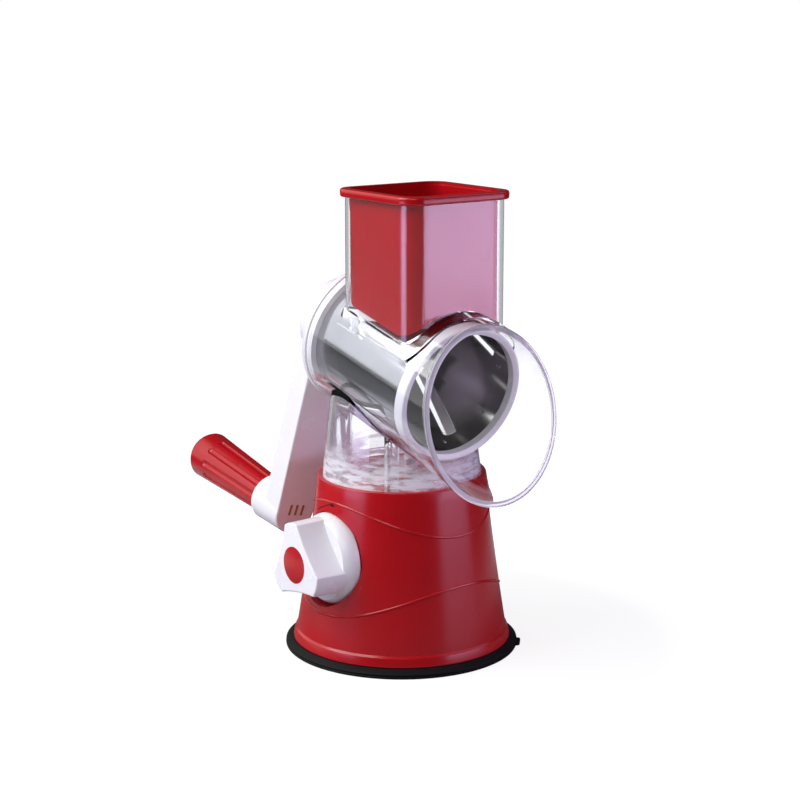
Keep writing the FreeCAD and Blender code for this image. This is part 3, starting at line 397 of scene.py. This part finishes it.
def turned(name, profile, steps=144):
    """A piece turned round Z: a circle that is extruded and resized along a profile of (radius, height)."""
    deselect()
    # a pole is a tiny circle, which close_up() merges into one point
    radii = [max(radius, 0.004) for radius, height in profile]
    bpy.ops.mesh.primitive_circle_add(vertices=steps, radius=radii[0] * mm,
                                      location=(0, 0, profile[0][1] * mm))
    piece = bpy.context.object
    piece.name = name
    bpy.ops.object.transform_apply(location=True)
    bpy.ops.object.mode_set(mode="EDIT")
    bpy.ops.mesh.select_all(action="SELECT")
    for i in range(1, len(profile)):
        rise = (profile[i][1] - profile[i - 1][1]) * mm
        bpy.ops.mesh.extrude_edges_move(TRANSFORM_OT_translate={"value": (0, 0, rise)})
        grow = radii[i] / radii[i - 1]
        bpy.ops.transform.resize(value=(grow, grow, 1), center_override=(0, 0, profile[i][1] * mm))
    close_up()
    return piece


def close_up():
    """Merge the seams and poles of the piece in edit mode and turn its faces outwards."""
    bpy.ops.mesh.select_all(action="SELECT")
    bpy.ops.mesh.remove_doubles(threshold=0.015 * mm)
    bpy.ops.mesh.normals_make_consistent(inside=False)
    bpy.ops.object.mode_set(mode="OBJECT")


def prism(name, half_x, half_y, corner, low, high, centre, edge=0.0):
    """An upright block from low to high: a plane, its corners rounded, extruded up, its end edges eased."""
    deselect()
    bpy.ops.mesh.primitive_plane_add(size=2 * mm, location=(centre[0] * mm, centre[1] * mm, low * mm))
    piece = bpy.context.object
    piece.name = name
    piece.scale = (half_x, half_y, 1)
    bpy.ops.object.transform_apply(location=True, rotation=False, scale=True)
    bpy.ops.object.mode_set(mode="EDIT")
    bpy.ops.mesh.select_all(action="SELECT")
    if corner:
        bpy.ops.mesh.bevel(offset=corner * mm, segments=12, affect="VERTICES")
    bpy.ops.mesh.select_all(action="SELECT")
    bpy.ops.mesh.extrude_region_move(TRANSFORM_OT_translate={"value": (0, 0, (high - low) * mm)})
    if edge:
        ends = (low * mm, high * mm)
        choose_edges(lambda e: min(sum(abs(v.co.z - z) for v in e.verts) for z in ends) < 1e-6)
        bpy.ops.mesh.bevel(offset=edge * mm, segments=4, affect="EDGES")
    close_up()
    return piece


def shaft(name, radius, low, high, steps=144):
    """A plain cylinder, to cut or to join."""
    return turned(name, [(0, low), (radius, low), (radius, high), (0, high)], steps)


def moved(piece, place):
    """The piece put in its place, with its object at the origin."""
    work_on(piece)
    piece.matrix_world = place
    bpy.ops.object.transform_apply(location=True, rotation=True, scale=True)
    return piece


def combine(piece, tool, how="UNION"):
    """Join, cut or cross a piece with a tool by an applied boolean. The tool is used up."""
    work_on(piece)
    step = piece.modifiers.new(how.lower(), "BOOLEAN")
    step.operation = how
    step.solver = "EXACT"
    step.object = tool
    bpy.ops.object.modifier_apply(modifier=step.name)
    bpy.data.objects.remove(tool)
    return piece


def joined(piece, others):
    """One object from several that don't need a boolean."""
    work_on(piece)
    for other in others:
        other.select_set(True)
    bpy.ops.object.join()
    return piece


def ease(piece, width, angle):
    """Round the edges that turn by more than an angle, by an applied bevel."""
    work_on(piece)
    step = piece.modifiers.new("ease", "BEVEL")
    step.width = width * mm
    step.segments = 3
    step.limit_method = "ANGLE"
    step.angle_limit = math.radians(angle)
    bpy.ops.object.modifier_apply(modifier=step.name)


def finish_piece(piece, finish, body, replaced, angle=35):
    """Smooth a piece, give it its finish, and let it ride in place of its frame nodes."""
    work_on(piece)
    bpy.ops.object.shade_smooth_by_angle(angle=math.radians(angle))
    piece.data.materials.clear()
    piece.data.materials.append(finishes()[finish])
    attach(piece, body)
    if replaced:
        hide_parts(*replaced)


# ------------------------------------------------------------------ operators
class PieceOperator(bpy.types.Operator):
    """Shared settings of the piece operators."""
    bl_options = {"REGISTER", "UNDO"}


# ------------------------------------------------------------------ base
def cone_radius(height):
    """The base's radius at a height: a straight taper, hollowed a little by the last term."""
    return 56.6 - 0.15144 * (height - base_foot) + 0.000318 * (height - base_foot) * (height - 52.0)


def cone_side(inset, high):
    """Points up the base's side from its foot, pulled in by inset."""
    steps = 14
    heights = [base_foot + (high - base_foot) * k / steps for k in range(steps + 1)]
    return [(cone_radius(h) - inset, h) for h in heights]


def on_cone(azimuth, height, sunk):
    """A curve's point on the base's side, sunk a little into it."""
    radius = cone_radius(height) - sunk
    return radius * mm * math.sin(azimuth), -radius * mm * math.cos(azimuth), height * mm, 1


def raised_wave(name, mean, swing, width):
    """A raised line with two crests round the base: a closed curve of round section, sunk in the side."""
    deselect()
    bpy.ops.curve.primitive_nurbs_circle_add(radius=1.0)
    piece = bpy.context.object
    piece.name = name
    spline = piece.data.splines[0]
    count = 96
    crest = math.radians(-86)
    spline.points.add(count - len(spline.points))
    for k, point in enumerate(spline.points):
        azimuth = 2 * math.pi * k / count
        height = mean + swing * math.cos(2 * (azimuth - crest))
        point.co = on_cone(azimuth, height, 0.15)
    spline.use_cyclic_u = True
    spline.order_u = 3
    piece.data.resolution_u = 4
    piece.data.bevel_depth = width / 2 * mm
    piece.data.bevel_resolution = 3
    bpy.ops.object.convert(target="MESH")
    return bpy.context.object


class SHREDDER_OT_base_shell(PieceOperator):
    """Turn the red base, cut its knob pocket and raise its two waves"""
    bl_idname = "shredder.base_shell"
    bl_label = "Base shell"

    def execute(self, context):
        width = context.scene.shredder_sizes.wave_width
        skirt_low, skirt_radius = 4.6, 58.9  # the ridge at the base's foot
        pocket_floor = 42.9  # from the base's axis, out to where the pocket starts
        side = cone_side(0, base_top)
        shell = turned("base_shell_visual", soft(
            [(0, deck_top), (cone_radius(deck_top) - base_wall, deck_top, 0.5),
             (cone_radius(base_top) - base_wall, base_top, 0.5), (cone_radius(base_top), base_top, 0.8)]
            + side[-2::-1]
            + [(57.6, 9.4, 0.3), (skirt_radius, skirt_low, 0.5), (skirt_radius - base_wall, skirt_low)]
            + cone_side(base_wall, deck_under) + [(0, deck_under)]), 192)
        outer = turned("cone", [(0, skirt_low), (skirt_radius, skirt_low), (57.6, 9.4)] + side
                       + [(0, base_top)], 192)
        wall = shaft("pocket_wall", pocket_radius + base_wall, pocket_floor - base_wall, skirt_radius)
        combine(moved(wall, shaft_place), outer, "INTERSECT")
        combine(shell, wall)
        combine(shell, moved(shaft("pocket", pocket_radius, pocket_floor, 80), shaft_place), "DIFFERENCE")
        others = []
        for y in (-17, 17):
            boss = turned("boss", soft([(0, 84.4), (4, 84.4), (4, 90.5, 0.6), (0, 90.5)]), 48)
            others.append(moved(boss, Matrix.Translation((0, y * mm, 0))))
        for name, mean, swing in (("wave_high", 77.3, 7.9), ("wave_low", 35.0, -8.5)):
            # the stretch that crosses the knob's pocket is cut away
            pocket = moved(shaft("pocket", pocket_radius, 40, 80), shaft_place)
            others.append(combine(raised_wave(name, mean, swing, width), pocket, "DIFFERENCE"))
        joined(shell, others)
        finish_piece(shell, "red_plastic", "housing", ["base_shell"])
        return {"FINISHED"}


class SHREDDER_OT_arrow(PieceOperator):
    """Print the small turning arrow on the base, above the knob"""
    bl_idname = "shredder.arrow"
    bl_label = "Turning arrow"

    def execute(self, context):
        # bearing, height and thickness; the last two points are the arrow's head
        line = [(-106.4, 77.6, 1.0), (-102.6, 79.5, 1.0), (-98.4, 81.0, 1.0), (-94.8, 82.3, 1.0),
                (-91.4, 83.2, 1.0), (-88.6, 83.6, 1.0), (-88.2, 83.6, 2.4), (-83.1, 83.3, 0.2)]
        deselect()
        bpy.ops.curve.primitive_nurbs_path_add(radius=1.0)
        arrow = context.object
        arrow.name = "turning_arrow_visual"
        spline = arrow.data.splines[0]
        spline.points.add(len(line) - len(spline.points))
        for point, (azimuth, height, girth) in zip(spline.points, line):
            point.co = on_cone(math.radians(azimuth), height, 0.3)
            point.radius = girth
        spline.order_u = 2
        spline.use_endpoint_u = True
        arrow.data.bevel_depth = 0.42 * mm
        arrow.data.bevel_resolution = 3
        arrow.data.use_fill_caps = True
        bpy.ops.object.convert(target="MESH")
        bpy.ops.object.transform_apply(location=True, rotation=True, scale=True)
        finish_piece(arrow, "rubber", "housing", [])
        return {"FINISHED"}


class SHREDDER_OT_foot(PieceOperator):
    """Turn the rubber foot and add its pull tab"""
    bl_idname = "shredder.foot"
    bl_label = "Rubber foot"

    def execute(self, context):
        radius = context.scene.shredder_sizes.foot_radius
        foot = turned("suction_foot_visual", soft([
            (51, 0, 0.4), (radius - 0.2, 0, 0.5), (radius, 1.0, 0.2), (radius - 0.5, 1.35, 0.15),
            (radius - 0.5, 1.6, 0.15), (radius - 0.1, 1.9, 0.2), (radius - 0.2, 2.5, 0.4), (59.3, 4.6, 0.3),
            (55.1, 4.6), (53.5, 6.2), (53.5, 10.4), (51, 10.4), (51, 0.4)], 3), 192)
        tab = prism("pull_tab", 5.6, 4.5, 1.5, 0.4, 2.2, (59.1, 0), 0.4)
        joined(foot, [moved(tab, Matrix.Rotation(math.radians(-42), 4, "Z"))])
        finish_piece(foot, "rubber", "housing", ["suction_foot"])
        return {"FINISHED"}


# ------------------------------------------------------------------ clear housing
def hopper_block(name, half, corner, low, high, edge=0.0):
    """A square block on the hopper's centre line."""
    return prism(name, half, half, corner, low, high, (0.0, hopper_y), edge)


def along_drum(name, radius):
    """A long cylinder on the drum's axis, to cut or to trim with."""
    return moved(shaft(name, radius, -90, 90, 160), drum_place)


def neck_radius(height):
    """The neck's outer radius at a height: it loses 4.2 mm in 41.5 mm above the base's rim."""
    return neck_foot - (height - base_top) * 4.2 / 41.5


def mouth_cut(piece, behind=0.0, keep_outer=False):
    """Bisect a piece along the hood's mouth or behind it, in the drum's own frame, and fill the cut."""
    edit(piece)
    slant = math.radians(mouth_slant)
    bpy.ops.mesh.bisect(plane_co=(0, 0, (mouth_reach - behind) * mm),
                        plane_no=(0, -math.sin(slant), math.cos(slant)), use_fill=True,
                        clear_outer=not keep_outer, clear_inner=keep_outer)
    bpy.ops.object.mode_set(mode="OBJECT")


class SHREDDER_OT_clear_housing(PieceOperator):
    """Join the clear tube, hood, hopper and neck into one moulding and hollow it"""
    bl_idname = "shredder.clear_housing"
    bl_label = "Clear housing"

    def execute(self, context):
        sizes = context.scene.shredder_sizes
        radius = sizes.tube_radius
        bore = radius - sizes.tube_wall
        # the hood flares from the tube's front end on
        hood_start, hood_end, flare = 52.5, 102.5, 0.8
        tube = turned("clear_housing", soft([
            (0, -33.5), (radius + 0.9, -33.5, 0.7), (radius + 0.9, -30.1, 0.7), (radius, -30.1),
            (radius, hood_start), (radius + flare, hood_end), (0, hood_end)]), 160)
        mouth_cut(tube)
        # a thicker lip runs round the mouth
        lip = turned("lip", [(0, 40), (radius + 0.8, 40), (radius + 0.8, hood_start),
                             (radius + 1.6, hood_end), (0, hood_end)], 160)
        mouth_cut(lip)
        mouth_cut(lip, 2.4, keep_outer=True)
        edit(lip)
        close_up()
        ease(lip, 0.6, 50)
        combine(tube, lip)
        bored = turned("bore", [(0, -31.7), (bore, -31.7), (bore, hood_start),
                                (bore + flare, hood_end + 0.1), (0, hood_end + 0.1)], 160)
        hole = shaft("shaft_hole", 12.05, -35, -30, 64)
        for piece in (tube, bored, hole):
            moved(piece, drum_place)
        neck_end = 150
        neck = turned("neck", [(0, deck_top), (neck_foot, deck_top), (neck_foot, base_top),
                               (neck_radius(neck_end), neck_end), (0, neck_end)], 144)
        combine(neck, along_drum("tube_room", radius - 0.5), "DIFFERENCE")
        combine(tube, neck)
        combine(tube, hopper_block("hopper", 32.2, 10.7, 165, 243.1))
        # a low saddle spreads the hopper's foot over the tube
        saddle = prism("saddle", 36.3, 31.95, 12.0, 160, 240, (0.0, -27.35))
        combine(saddle, along_drum("saddle_form", radius + 1.0), "INTERSECT")
        combine(tube, saddle)
        # the neck is hollow, but for an inner ledge, four screw columns and their fins
        cavity = turned("neck_cavity", [
            (0, 84), (neck_foot - 2, 84), (neck_foot - 2, base_top), (neck_radius(98) - 2, 98), (37.9, 98),
            (37.9, 99.6), (neck_radius(99.6) - 2, 99.6), (neck_radius(neck_end) - 2, neck_end),
            (0, neck_end)], 144)
        combine(cavity, along_drum("tube_room", radius - 0.01), "DIFFERENCE")
        for azimuth in (45, 135, 225, 315):
            turn = Matrix.Rotation(math.radians(azimuth), 4, "Z")
            column = shaft("column", 3.8, 80, 160, 48)
            combine(cavity, moved(column, turn @ Matrix.Translation((31 * mm, 0, 0))), "DIFFERENCE")
            fin = prism("fin", 6.0, 0.8, 0, 80, 160, (37.0, 0))
            combine(cavity, moved(fin, turn), "DIFFERENCE")
        combine(tube, cavity, "DIFFERENCE")
        combine(tube, bored, "DIFFERENCE")
        combine(tube, hole, "DIFFERENCE")
        combine(tube, hopper_block("throat", 30.4, 8.9, 165, 244), "DIFFERENCE")
        finish_piece(tube, "clear_plastic", "housing", ["drum_tube", "feed_hopper", "housing_neck"], 30)
        # light goes straight through the clear walls, without the speckle that bent rays leave
        tube.visible_shadow = False
        tube.visible_diffuse = False
        return {"FINISHED"}


# ------------------------------------------------------------------ pusher
class SHREDDER_OT_pusher(PieceOperator):
    """Build the hollow pusher with its square rim and arched floor"""
    bl_idname = "shredder.pusher"
    bl_label = "Pusher"

    def execute(self, context):
        radius = context.scene.shredder_sizes.tube_radius
        pusher = hopper_block("food_pusher_visual", 30.0, 11.5, 165, 244.2)
        combine(pusher, along_drum("arch", radius + 0.8), "DIFFERENCE")
        ease(pusher, 0.5, 60)
        combine(pusher, hopper_block("rim", 34.2, 11.2, 243.2, 247.6, 1.3))
        hollow = hopper_block("hollow", 28.4, 9.9, 160, 249)
        combine(hollow, along_drum("floor", radius + 2.8), "DIFFERENCE")
        combine(pusher, hollow, "DIFFERENCE")
        combine(pusher, hopper_block("mouth", 29.6, 8.1, 246.0, 249), "DIFFERENCE")
        finish_piece(pusher, "red_plastic", "pusher", ["food_pusher"])
        return {"FINISHED"}


# ------------------------------------------------------------------ drum
def rolled(piece, radius):
    """A flat piece (x along the axis, y round it, z outwards) rolled onto a cylinder round Z."""
    for vertex in piece.data.vertices:
        along, round_it, out = vertex.co
        angle = round_it / (radius * mm)
        reach = radius * mm + out
        vertex.co = (reach * math.cos(angle), reach * math.sin(angle), along)
    edit(piece)
    close_up()
    return piece


def strip(name, length, low_y, high_y, low_z, high_z, corner=0.0, edge=0.0):
    """A long flat bar, cut across into short lengths so that it can be rolled."""
    bar = prism(name, length / 2, (high_y - low_y) / 2, corner, low_z, high_z,
                (0, (low_y + high_y) / 2), edge)
    edit(bar)
    choose_edges(lambda e: abs(e.verts[0].co.x - e.verts[1].co.x) > length / 2 * mm)
    bpy.ops.mesh.subdivide(number_cuts=28)
    bpy.ops.object.mode_set(mode="OBJECT")
    return bar


def slot_places():
    """Where the four slots lie on the unrolled drum, each a quarter turn on and slanted."""
    start, middle, slant, unrolled = -52.4, 9, -20.8, 35.0
    for k in range(4):
        arc = math.radians(start + 90 * k) * unrolled
        yield Matrix.Translation((middle * mm, arc * mm, 0)) @ Matrix.Rotation(math.radians(slant), 4, "Z")


class SHREDDER_OT_drum(PieceOperator):
    """Turn the steel drum, cut its slanted slots and raise its blades"""
    bl_idname = "shredder.drum"
    bl_label = "Steel drum"

    def execute(self, context):
        radius = context.scene.shredder_sizes.drum_radius
        hub = 13.05
        inside, floor = radius - drum_sheet, drum_back + drum_sheet
        drum = turned("drum_shell_visual", soft([
            (hub, drum_back), (radius, drum_back, 1.6), (radius, drum_front), (inside, drum_front),
            (inside, floor, 0.8), (hub, floor), (hub, drum_back)]), 192)
        slot_half = 3.7
        blade_width, blade_rise = 5.4, 1.7
        lift = (Matrix.Translation((0, slot_half * mm, 0))
                @ Matrix.Rotation(-math.asin(blade_rise / blade_width), 4, "X"))
        blades = []
        for place in slot_places():
            slot = moved(strip("slot", 58, -slot_half, slot_half, -5, 5, 2.6), place)
            combine(drum, rolled(slot, radius), "DIFFERENCE")
            blade = strip("blade", 54, -blade_width, 0, -0.7, 0, edge=0.22)
            blades.append(rolled(moved(blade, place @ lift), radius))
        # eight small crimps behind the front edge hold the ring
        crimps = []
        crimp_radius = 0.9
        for k in range(8):
            bpy.ops.mesh.primitive_uv_sphere_add(segments=16, ring_count=8, radius=crimp_radius * mm)
            spot = (Matrix.Rotation(math.radians(-80 + 45 * k), 4, "Z")
                    @ Matrix.Translation(((radius - crimp_radius) * mm, 0, 39.6 * mm)))
            crimps.append(moved(context.object, spot @ Matrix.Diagonal((0.6, 1.0, 1.6, 1.0))))
        joined(drum, crimps)
        moved(drum, drum_place)
        finish_piece(drum, "stainless_steel", "crank", ["drum_shell"], 30)
        blade = joined(blades[0], blades[1:])
        blade.name = "drum_blades_visual"
        moved(blade, drum_place)
        finish_piece(blade, "stainless_steel", "crank", [], 30)
        steel = tuple(context.scene.shredder_colours.steel)
        # the blades' pale matt steel is a painted highlight
        blade.data.materials[0] = painted_bright_steel("stainless_painted_bright", steel)
        return {"FINISHED"}


class SHREDDER_OT_drum_ring(PieceOperator):
    """Turn the white ring at the drum's open end"""
    bl_idname = "shredder.drum_ring"
    bl_label = "Drum front ring"

    def execute(self, context):
        inner = context.scene.shredder_sizes.ring_opening
        outer, front, skirt_back = 36.5, 54.9, 47.8
        # the groove that the drum's edge sits in, with 0.05 mm round it
        groove_in, groove_out, groove_end = 34.15, 35.05, 50.05
        ring = turned("drum_front_ring_visual", soft([
            (inner, 49.6, 0.2), (groove_in, 49.6), (groove_in, groove_end), (groove_out, groove_end),
            (groove_out, skirt_back), (outer, skirt_back, 0.3), (outer, front, 0.8), (35.2, front, 0.3),
            (inner, 53.9, 0.3), (inner, 49.9)]), 192)
        moved(ring, drum_place)
        finish_piece(ring, "white_plastic", "crank", ["drum_front_ring"], 30)
        return {"FINISHED"}


class SHREDDER_OT_return_spring(PieceOperator):
    """Copy the return spring and let it ride on the lifter"""
    bl_idname = "shredder.return_spring"
    bl_label = "Return spring"

    def execute(self, context):
        deselect()
        spring = nodes["return_spring"].copy()
        spring.data = nodes["return_spring"].data.copy()
        spring.name = "return_spring_visual"
        context.scene.collection.objects.link(spring)
        edit(spring)
        bpy.ops.mesh.remove_doubles(threshold=0.002 * mm)
        bpy.ops.object.mode_set(mode="OBJECT")
        finish_piece(spring, "zinc_steel", "lifter", ["return_spring"])
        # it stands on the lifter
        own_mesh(spring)
        return {"FINISHED"}


class SHREDDER_OT_frame_finishes(PieceOperator):
    """Give each piece of the frame its own material"""
    bl_idname = "shredder.frame_finishes"
    bl_label = "Frame finishes"

    def execute(self, context):
        made = finishes()
        for part in frame["record"]["subparts"]:
            mesh = nodes[part["node"]].data
            mesh.materials.clear()
            mesh.materials.append(made[part["material_slot"]])
        return {"FINISHED"}


class SHREDDER_OT_studio(PieceOperator):
    """Add the floor, the lamps, the world and the camera"""
    bl_idname = "shredder.studio"
    bl_label = "Studio"

    def execute(self, context):
        deselect()
        bpy.ops.mesh.primitive_plane_add(size=12.0, location=(0, 0, 0))
        floor = context.object
        floor.name = "studio_floor"
        grey = tuple(context.scene.shredder_colours.floor)
        floor.data.materials.append(studio_paper("studio_paper", grey))
        studio_world("studio_world")
        white, lavender, blue_white = linear("#FFFFFF"), linear("#E8D2FF"), linear("#D8D0FF")
        # bearing, elevation, distance, width and height, power, colour, and the height they face
        lamp("key_softbox", -108, 42, 1.1, (0.9, 0.9), 11.0, white, 0.14)
        lamp("front_softbox", -42, 36, 1.2, (0.5, 0.5), 1.9, white, 0.14)
        lamp("fill_softbox", 60, 45, 1.2, (0.8, 0.8), 1.6, lavender, 0.14)
        lamp("front_strip", 33, 0, 0.5, (0.4, 0.19), 0.85, lavender, 0.155)
        lamp("low_strip", 33, 0, 0.5, (0.4, 0.06), 0.08, lavender, 0.03)
        lamp("left_strip", -98, 0, 0.45, (0.24, 0.14), 0.36, blue_white, 0.13)
        studio_camera("studio_camera")
        return {"FINISHED"}


def studio_paper(name, colour):
    """A round sheet of pale paper on a darker floor, which glows white where it is seen."""
    made, tree, place = new_material(name)
    grain = add_node(tree, "ShaderNodeTexNoise", {"Vector": place, "Scale": 300.0, "Detail": 2.0})
    reach = add_node(tree, "ShaderNodeVectorMath", {0: place}, operation="LENGTH")
    tone = add_node(tree, "ShaderNodeValToRGB", {"Fac": grain.outputs["Fac"]},
                    [(0.3, shade_of(colour, 0.98)), (0.7, colour)])
    # the sheet ends some 0.36 m out, where the dark floor starts
    sheet = add_node(tree, "ShaderNodeMapRange",
                     {"Value": reach.outputs["Value"], "From Min": 0.3, "From Max": 0.42, "To Min": 0.85,
                      "To Max": 0.15}, interpolation_type="SMOOTHSTEP")
    # painted shadow: the paper is darker right round the object, standing for its shadow there, so that the
    # object's gloss stays deep
    near = add_node(tree, "ShaderNodeMapRange",
                    {"Value": reach.outputs["Value"], "From Min": 0.14, "From Max": 0.24, "To Min": 0.3,
                     "To Max": 1.0})
    sheet = add_node(tree, "ShaderNodeMath", {0: sheet.outputs["Result"], 1: near.outputs["Result"]},
                     operation="MULTIPLY")
    paper = add_node(tree, "ShaderNodeVectorMath", {0: tone.outputs["Color"], "Scale": sheet.outputs[0]},
                     operation="SCALE")
    matt = add_node(tree, "ShaderNodeBsdfDiffuse", {"Color": paper.outputs["Vector"]})
    # the glow falls off a little towards the object, as a soft shadow would
    level = add_node(tree, "ShaderNodeMapRange",
                     {"Value": reach.outputs["Value"], "From Min": 0.14, "From Max": 0.45, "To Min": 0.86,
                      "To Max": 1.0})
    seen = add_node(tree, "ShaderNodeMath", {0: seen_by_eye(tree), 1: level.outputs["Result"]},
                    operation="MULTIPLY")
    glow = add_node(tree, "ShaderNodeEmission", {"Color": (1, 1, 1, 1), "Strength": seen.outputs[0]})
    both = add_node(tree, "ShaderNodeAddShader", {0: matt.outputs[0], 1: glow.outputs[0]})
    add_node(tree, "ShaderNodeOutputMaterial", {"Surface": both.outputs[0]})
    return made


def seen_by_eye(tree):
    """About 1 for what is seen directly or through clear plastic, 0 for what lights or is mirrored."""
    path = add_node(tree, "ShaderNodeLightPath")
    # no bounce off a matt surface, none off a mirror, and at most two clear walls
    conditions = [("Diffuse Depth", 0.5), ("Glossy Depth", 0.5), ("Transmission Depth", 2.5)]
    matt, mirror, walls = [
        add_node(tree, "ShaderNodeMath", {0: path.outputs[name], 1: most}, operation="LESS_THAN").outputs[0]
        for name, most in conditions]
    # a mirror inside the clear plastic itself counts in part, one behind it doesn't
    inner = add_node(tree, "ShaderNodeMath", {0: walls, 1: 0.45}, operation="MULTIPLY")
    clear = add_node(tree, "ShaderNodeMath", {0: mirror, 1: inner.outputs[0]}, operation="MAXIMUM")
    clear = add_node(tree, "ShaderNodeMath", {0: clear.outputs[0], 1: matt}, operation="MULTIPLY")
    clear = add_node(tree, "ShaderNodeMath", {0: clear.outputs[0], 1: path.outputs["Is Transmission Ray"]},
                     operation="MULTIPLY")
    # a little over 1 makes up for what two walls of clear plastic throw back
    return add_node(tree, "ShaderNodeMath",
                    {0: clear.outputs[0], 1: 1.15, 2: path.outputs["Is Camera Ray"]},
                    operation="MULTIPLY_ADD").outputs[0]


def bearing(azimuth, elevation):
    """The direction out to a bearing, counted from the front, at an elevation."""
    a, e = math.radians(azimuth), math.radians(elevation)
    return Vector((math.sin(a) * math.cos(e), -math.cos(a) * math.cos(e), math.sin(e)))


def studio_world(name):
    """A dark room with a white panel behind the left, and white where it is seen."""
    world = bpy.data.worlds.new(name)
    bpy.context.scene.world = world
    world.use_nodes = True
    world.cycles.sampling_method = "NONE"
    tree = world.node_tree
    tree.nodes.clear()
    place = add_node(tree, "ShaderNodeTexCoord")
    near = add_node(tree, "ShaderNodeVectorMath", {0: place.outputs["Generated"], 1: bearing(-150, 22)},
                    operation="DOT_PRODUCT")
    panel = add_node(tree, "ShaderNodeMapRange",
                     {"Value": near.outputs["Value"], "From Min": 0.76, "From Max": 0.93, "To Min": 0.05,
                      "To Max": 1.15}, interpolation_type="SMOOTHSTEP")
    strength = add_node(tree, "ShaderNodeMath", {0: panel.outputs["Result"], 1: seen_by_eye(tree)},
                        operation="MAXIMUM")
    sky = add_node(tree, "ShaderNodeBackground", {"Color": (1, 1, 1, 1), "Strength": strength.outputs[0]})
    add_node(tree, "ShaderNodeOutputWorld", {"Surface": sky.outputs[0]})


def lamp(name, azimuth, elevation, distance, spread, power, colour, height):
    """A rectangular softbox that faces the object's axis at a height, in metres and watts."""
    back = bearing(azimuth, elevation)
    deselect()
    bpy.ops.object.light_add(type="AREA", location=Vector((0, 0, height)) + back * distance)
    made = bpy.context.object
    made.name = name
    made.data.shape = "RECTANGLE"
    made.data.size, made.data.size_y = spread
    made.data.energy = power
    made.data.color = colour
    made.rotation_euler = (-back).to_track_quat("-Z", "Y").to_euler()
    made.visible_camera = False


def studio_camera(name):
    """The camera: a long lens, low and from the knob's side."""
    azimuth, elevation = -35.75, 12.05
    height, sideways, distance = 133.8, 0.8, 1009.3
    focal_pixels, picture_pixels, sensor = 1897.8, 800, 36.0
    back = bearing(azimuth, elevation)
    right = Vector((math.cos(math.radians(azimuth)), math.sin(math.radians(azimuth)), 0))
    target = Vector((0, 0, height * mm)) - right * sideways * mm
    bpy.ops.object.camera_add(location=target + back * distance * mm)
    made = bpy.context.object
    made.name = name
    made.rotation_euler = (-back).to_track_quat("-Z", "Y").to_euler()
    made.data.sensor_width = sensor
    made.data.lens = focal_pixels / picture_pixels * sensor
    made.data.clip_start = 0.05
    made.data.clip_end = 50.0
    bpy.context.scene.camera = made


# ------------------------------------------------------------------ add-on
class SHREDDER_PT_panel(bpy.types.Panel):
    """The shredder's panel"""
    bl_idname = "SHREDDER_PT_panel"
    bl_label = "Drum shredder"
    bl_space_type = "VIEW_3D"
    bl_region_type = "UI"
    bl_category = "Shredder"

    def draw(self, context):
        for operator in operators:
            self.layout.operator(operator.bl_idname)
        for group in (context.scene.shredder_sizes, context.scene.shredder_colours):
            for name in type(group).__annotations__:
                self.layout.prop(group, name)


operators = [
    SHREDDER_OT_base_shell, SHREDDER_OT_arrow, SHREDDER_OT_foot, SHREDDER_OT_clear_housing,
    SHREDDER_OT_pusher, SHREDDER_OT_drum, SHREDDER_OT_drum_ring, SHREDDER_OT_return_spring,
    SHREDDER_OT_frame_finishes, SHREDDER_OT_studio,
]
classes = [ShredderSizes, ShredderColours, *operators, SHREDDER_PT_panel]


def register():
    for one in classes:
        bpy.utils.register_class(one)
    bpy.types.Scene.shredder_sizes = bpy.props.PointerProperty(type=ShredderSizes)
    bpy.types.Scene.shredder_colours = bpy.props.PointerProperty(type=ShredderColours)


def unregister():
    del bpy.types.Scene.shredder_colours
    del bpy.types.Scene.shredder_sizes
    for one in reversed(classes):
        bpy.utils.unregister_class(one)


def main():
    register()
    for operator in operators:
        group, name = operator.bl_idname.split(".")
        getattr(getattr(bpy.ops, group), name)()
    bpy.context.scene.view_settings.view_transform = "Standard"


if __name__ == "__main__":
    main()
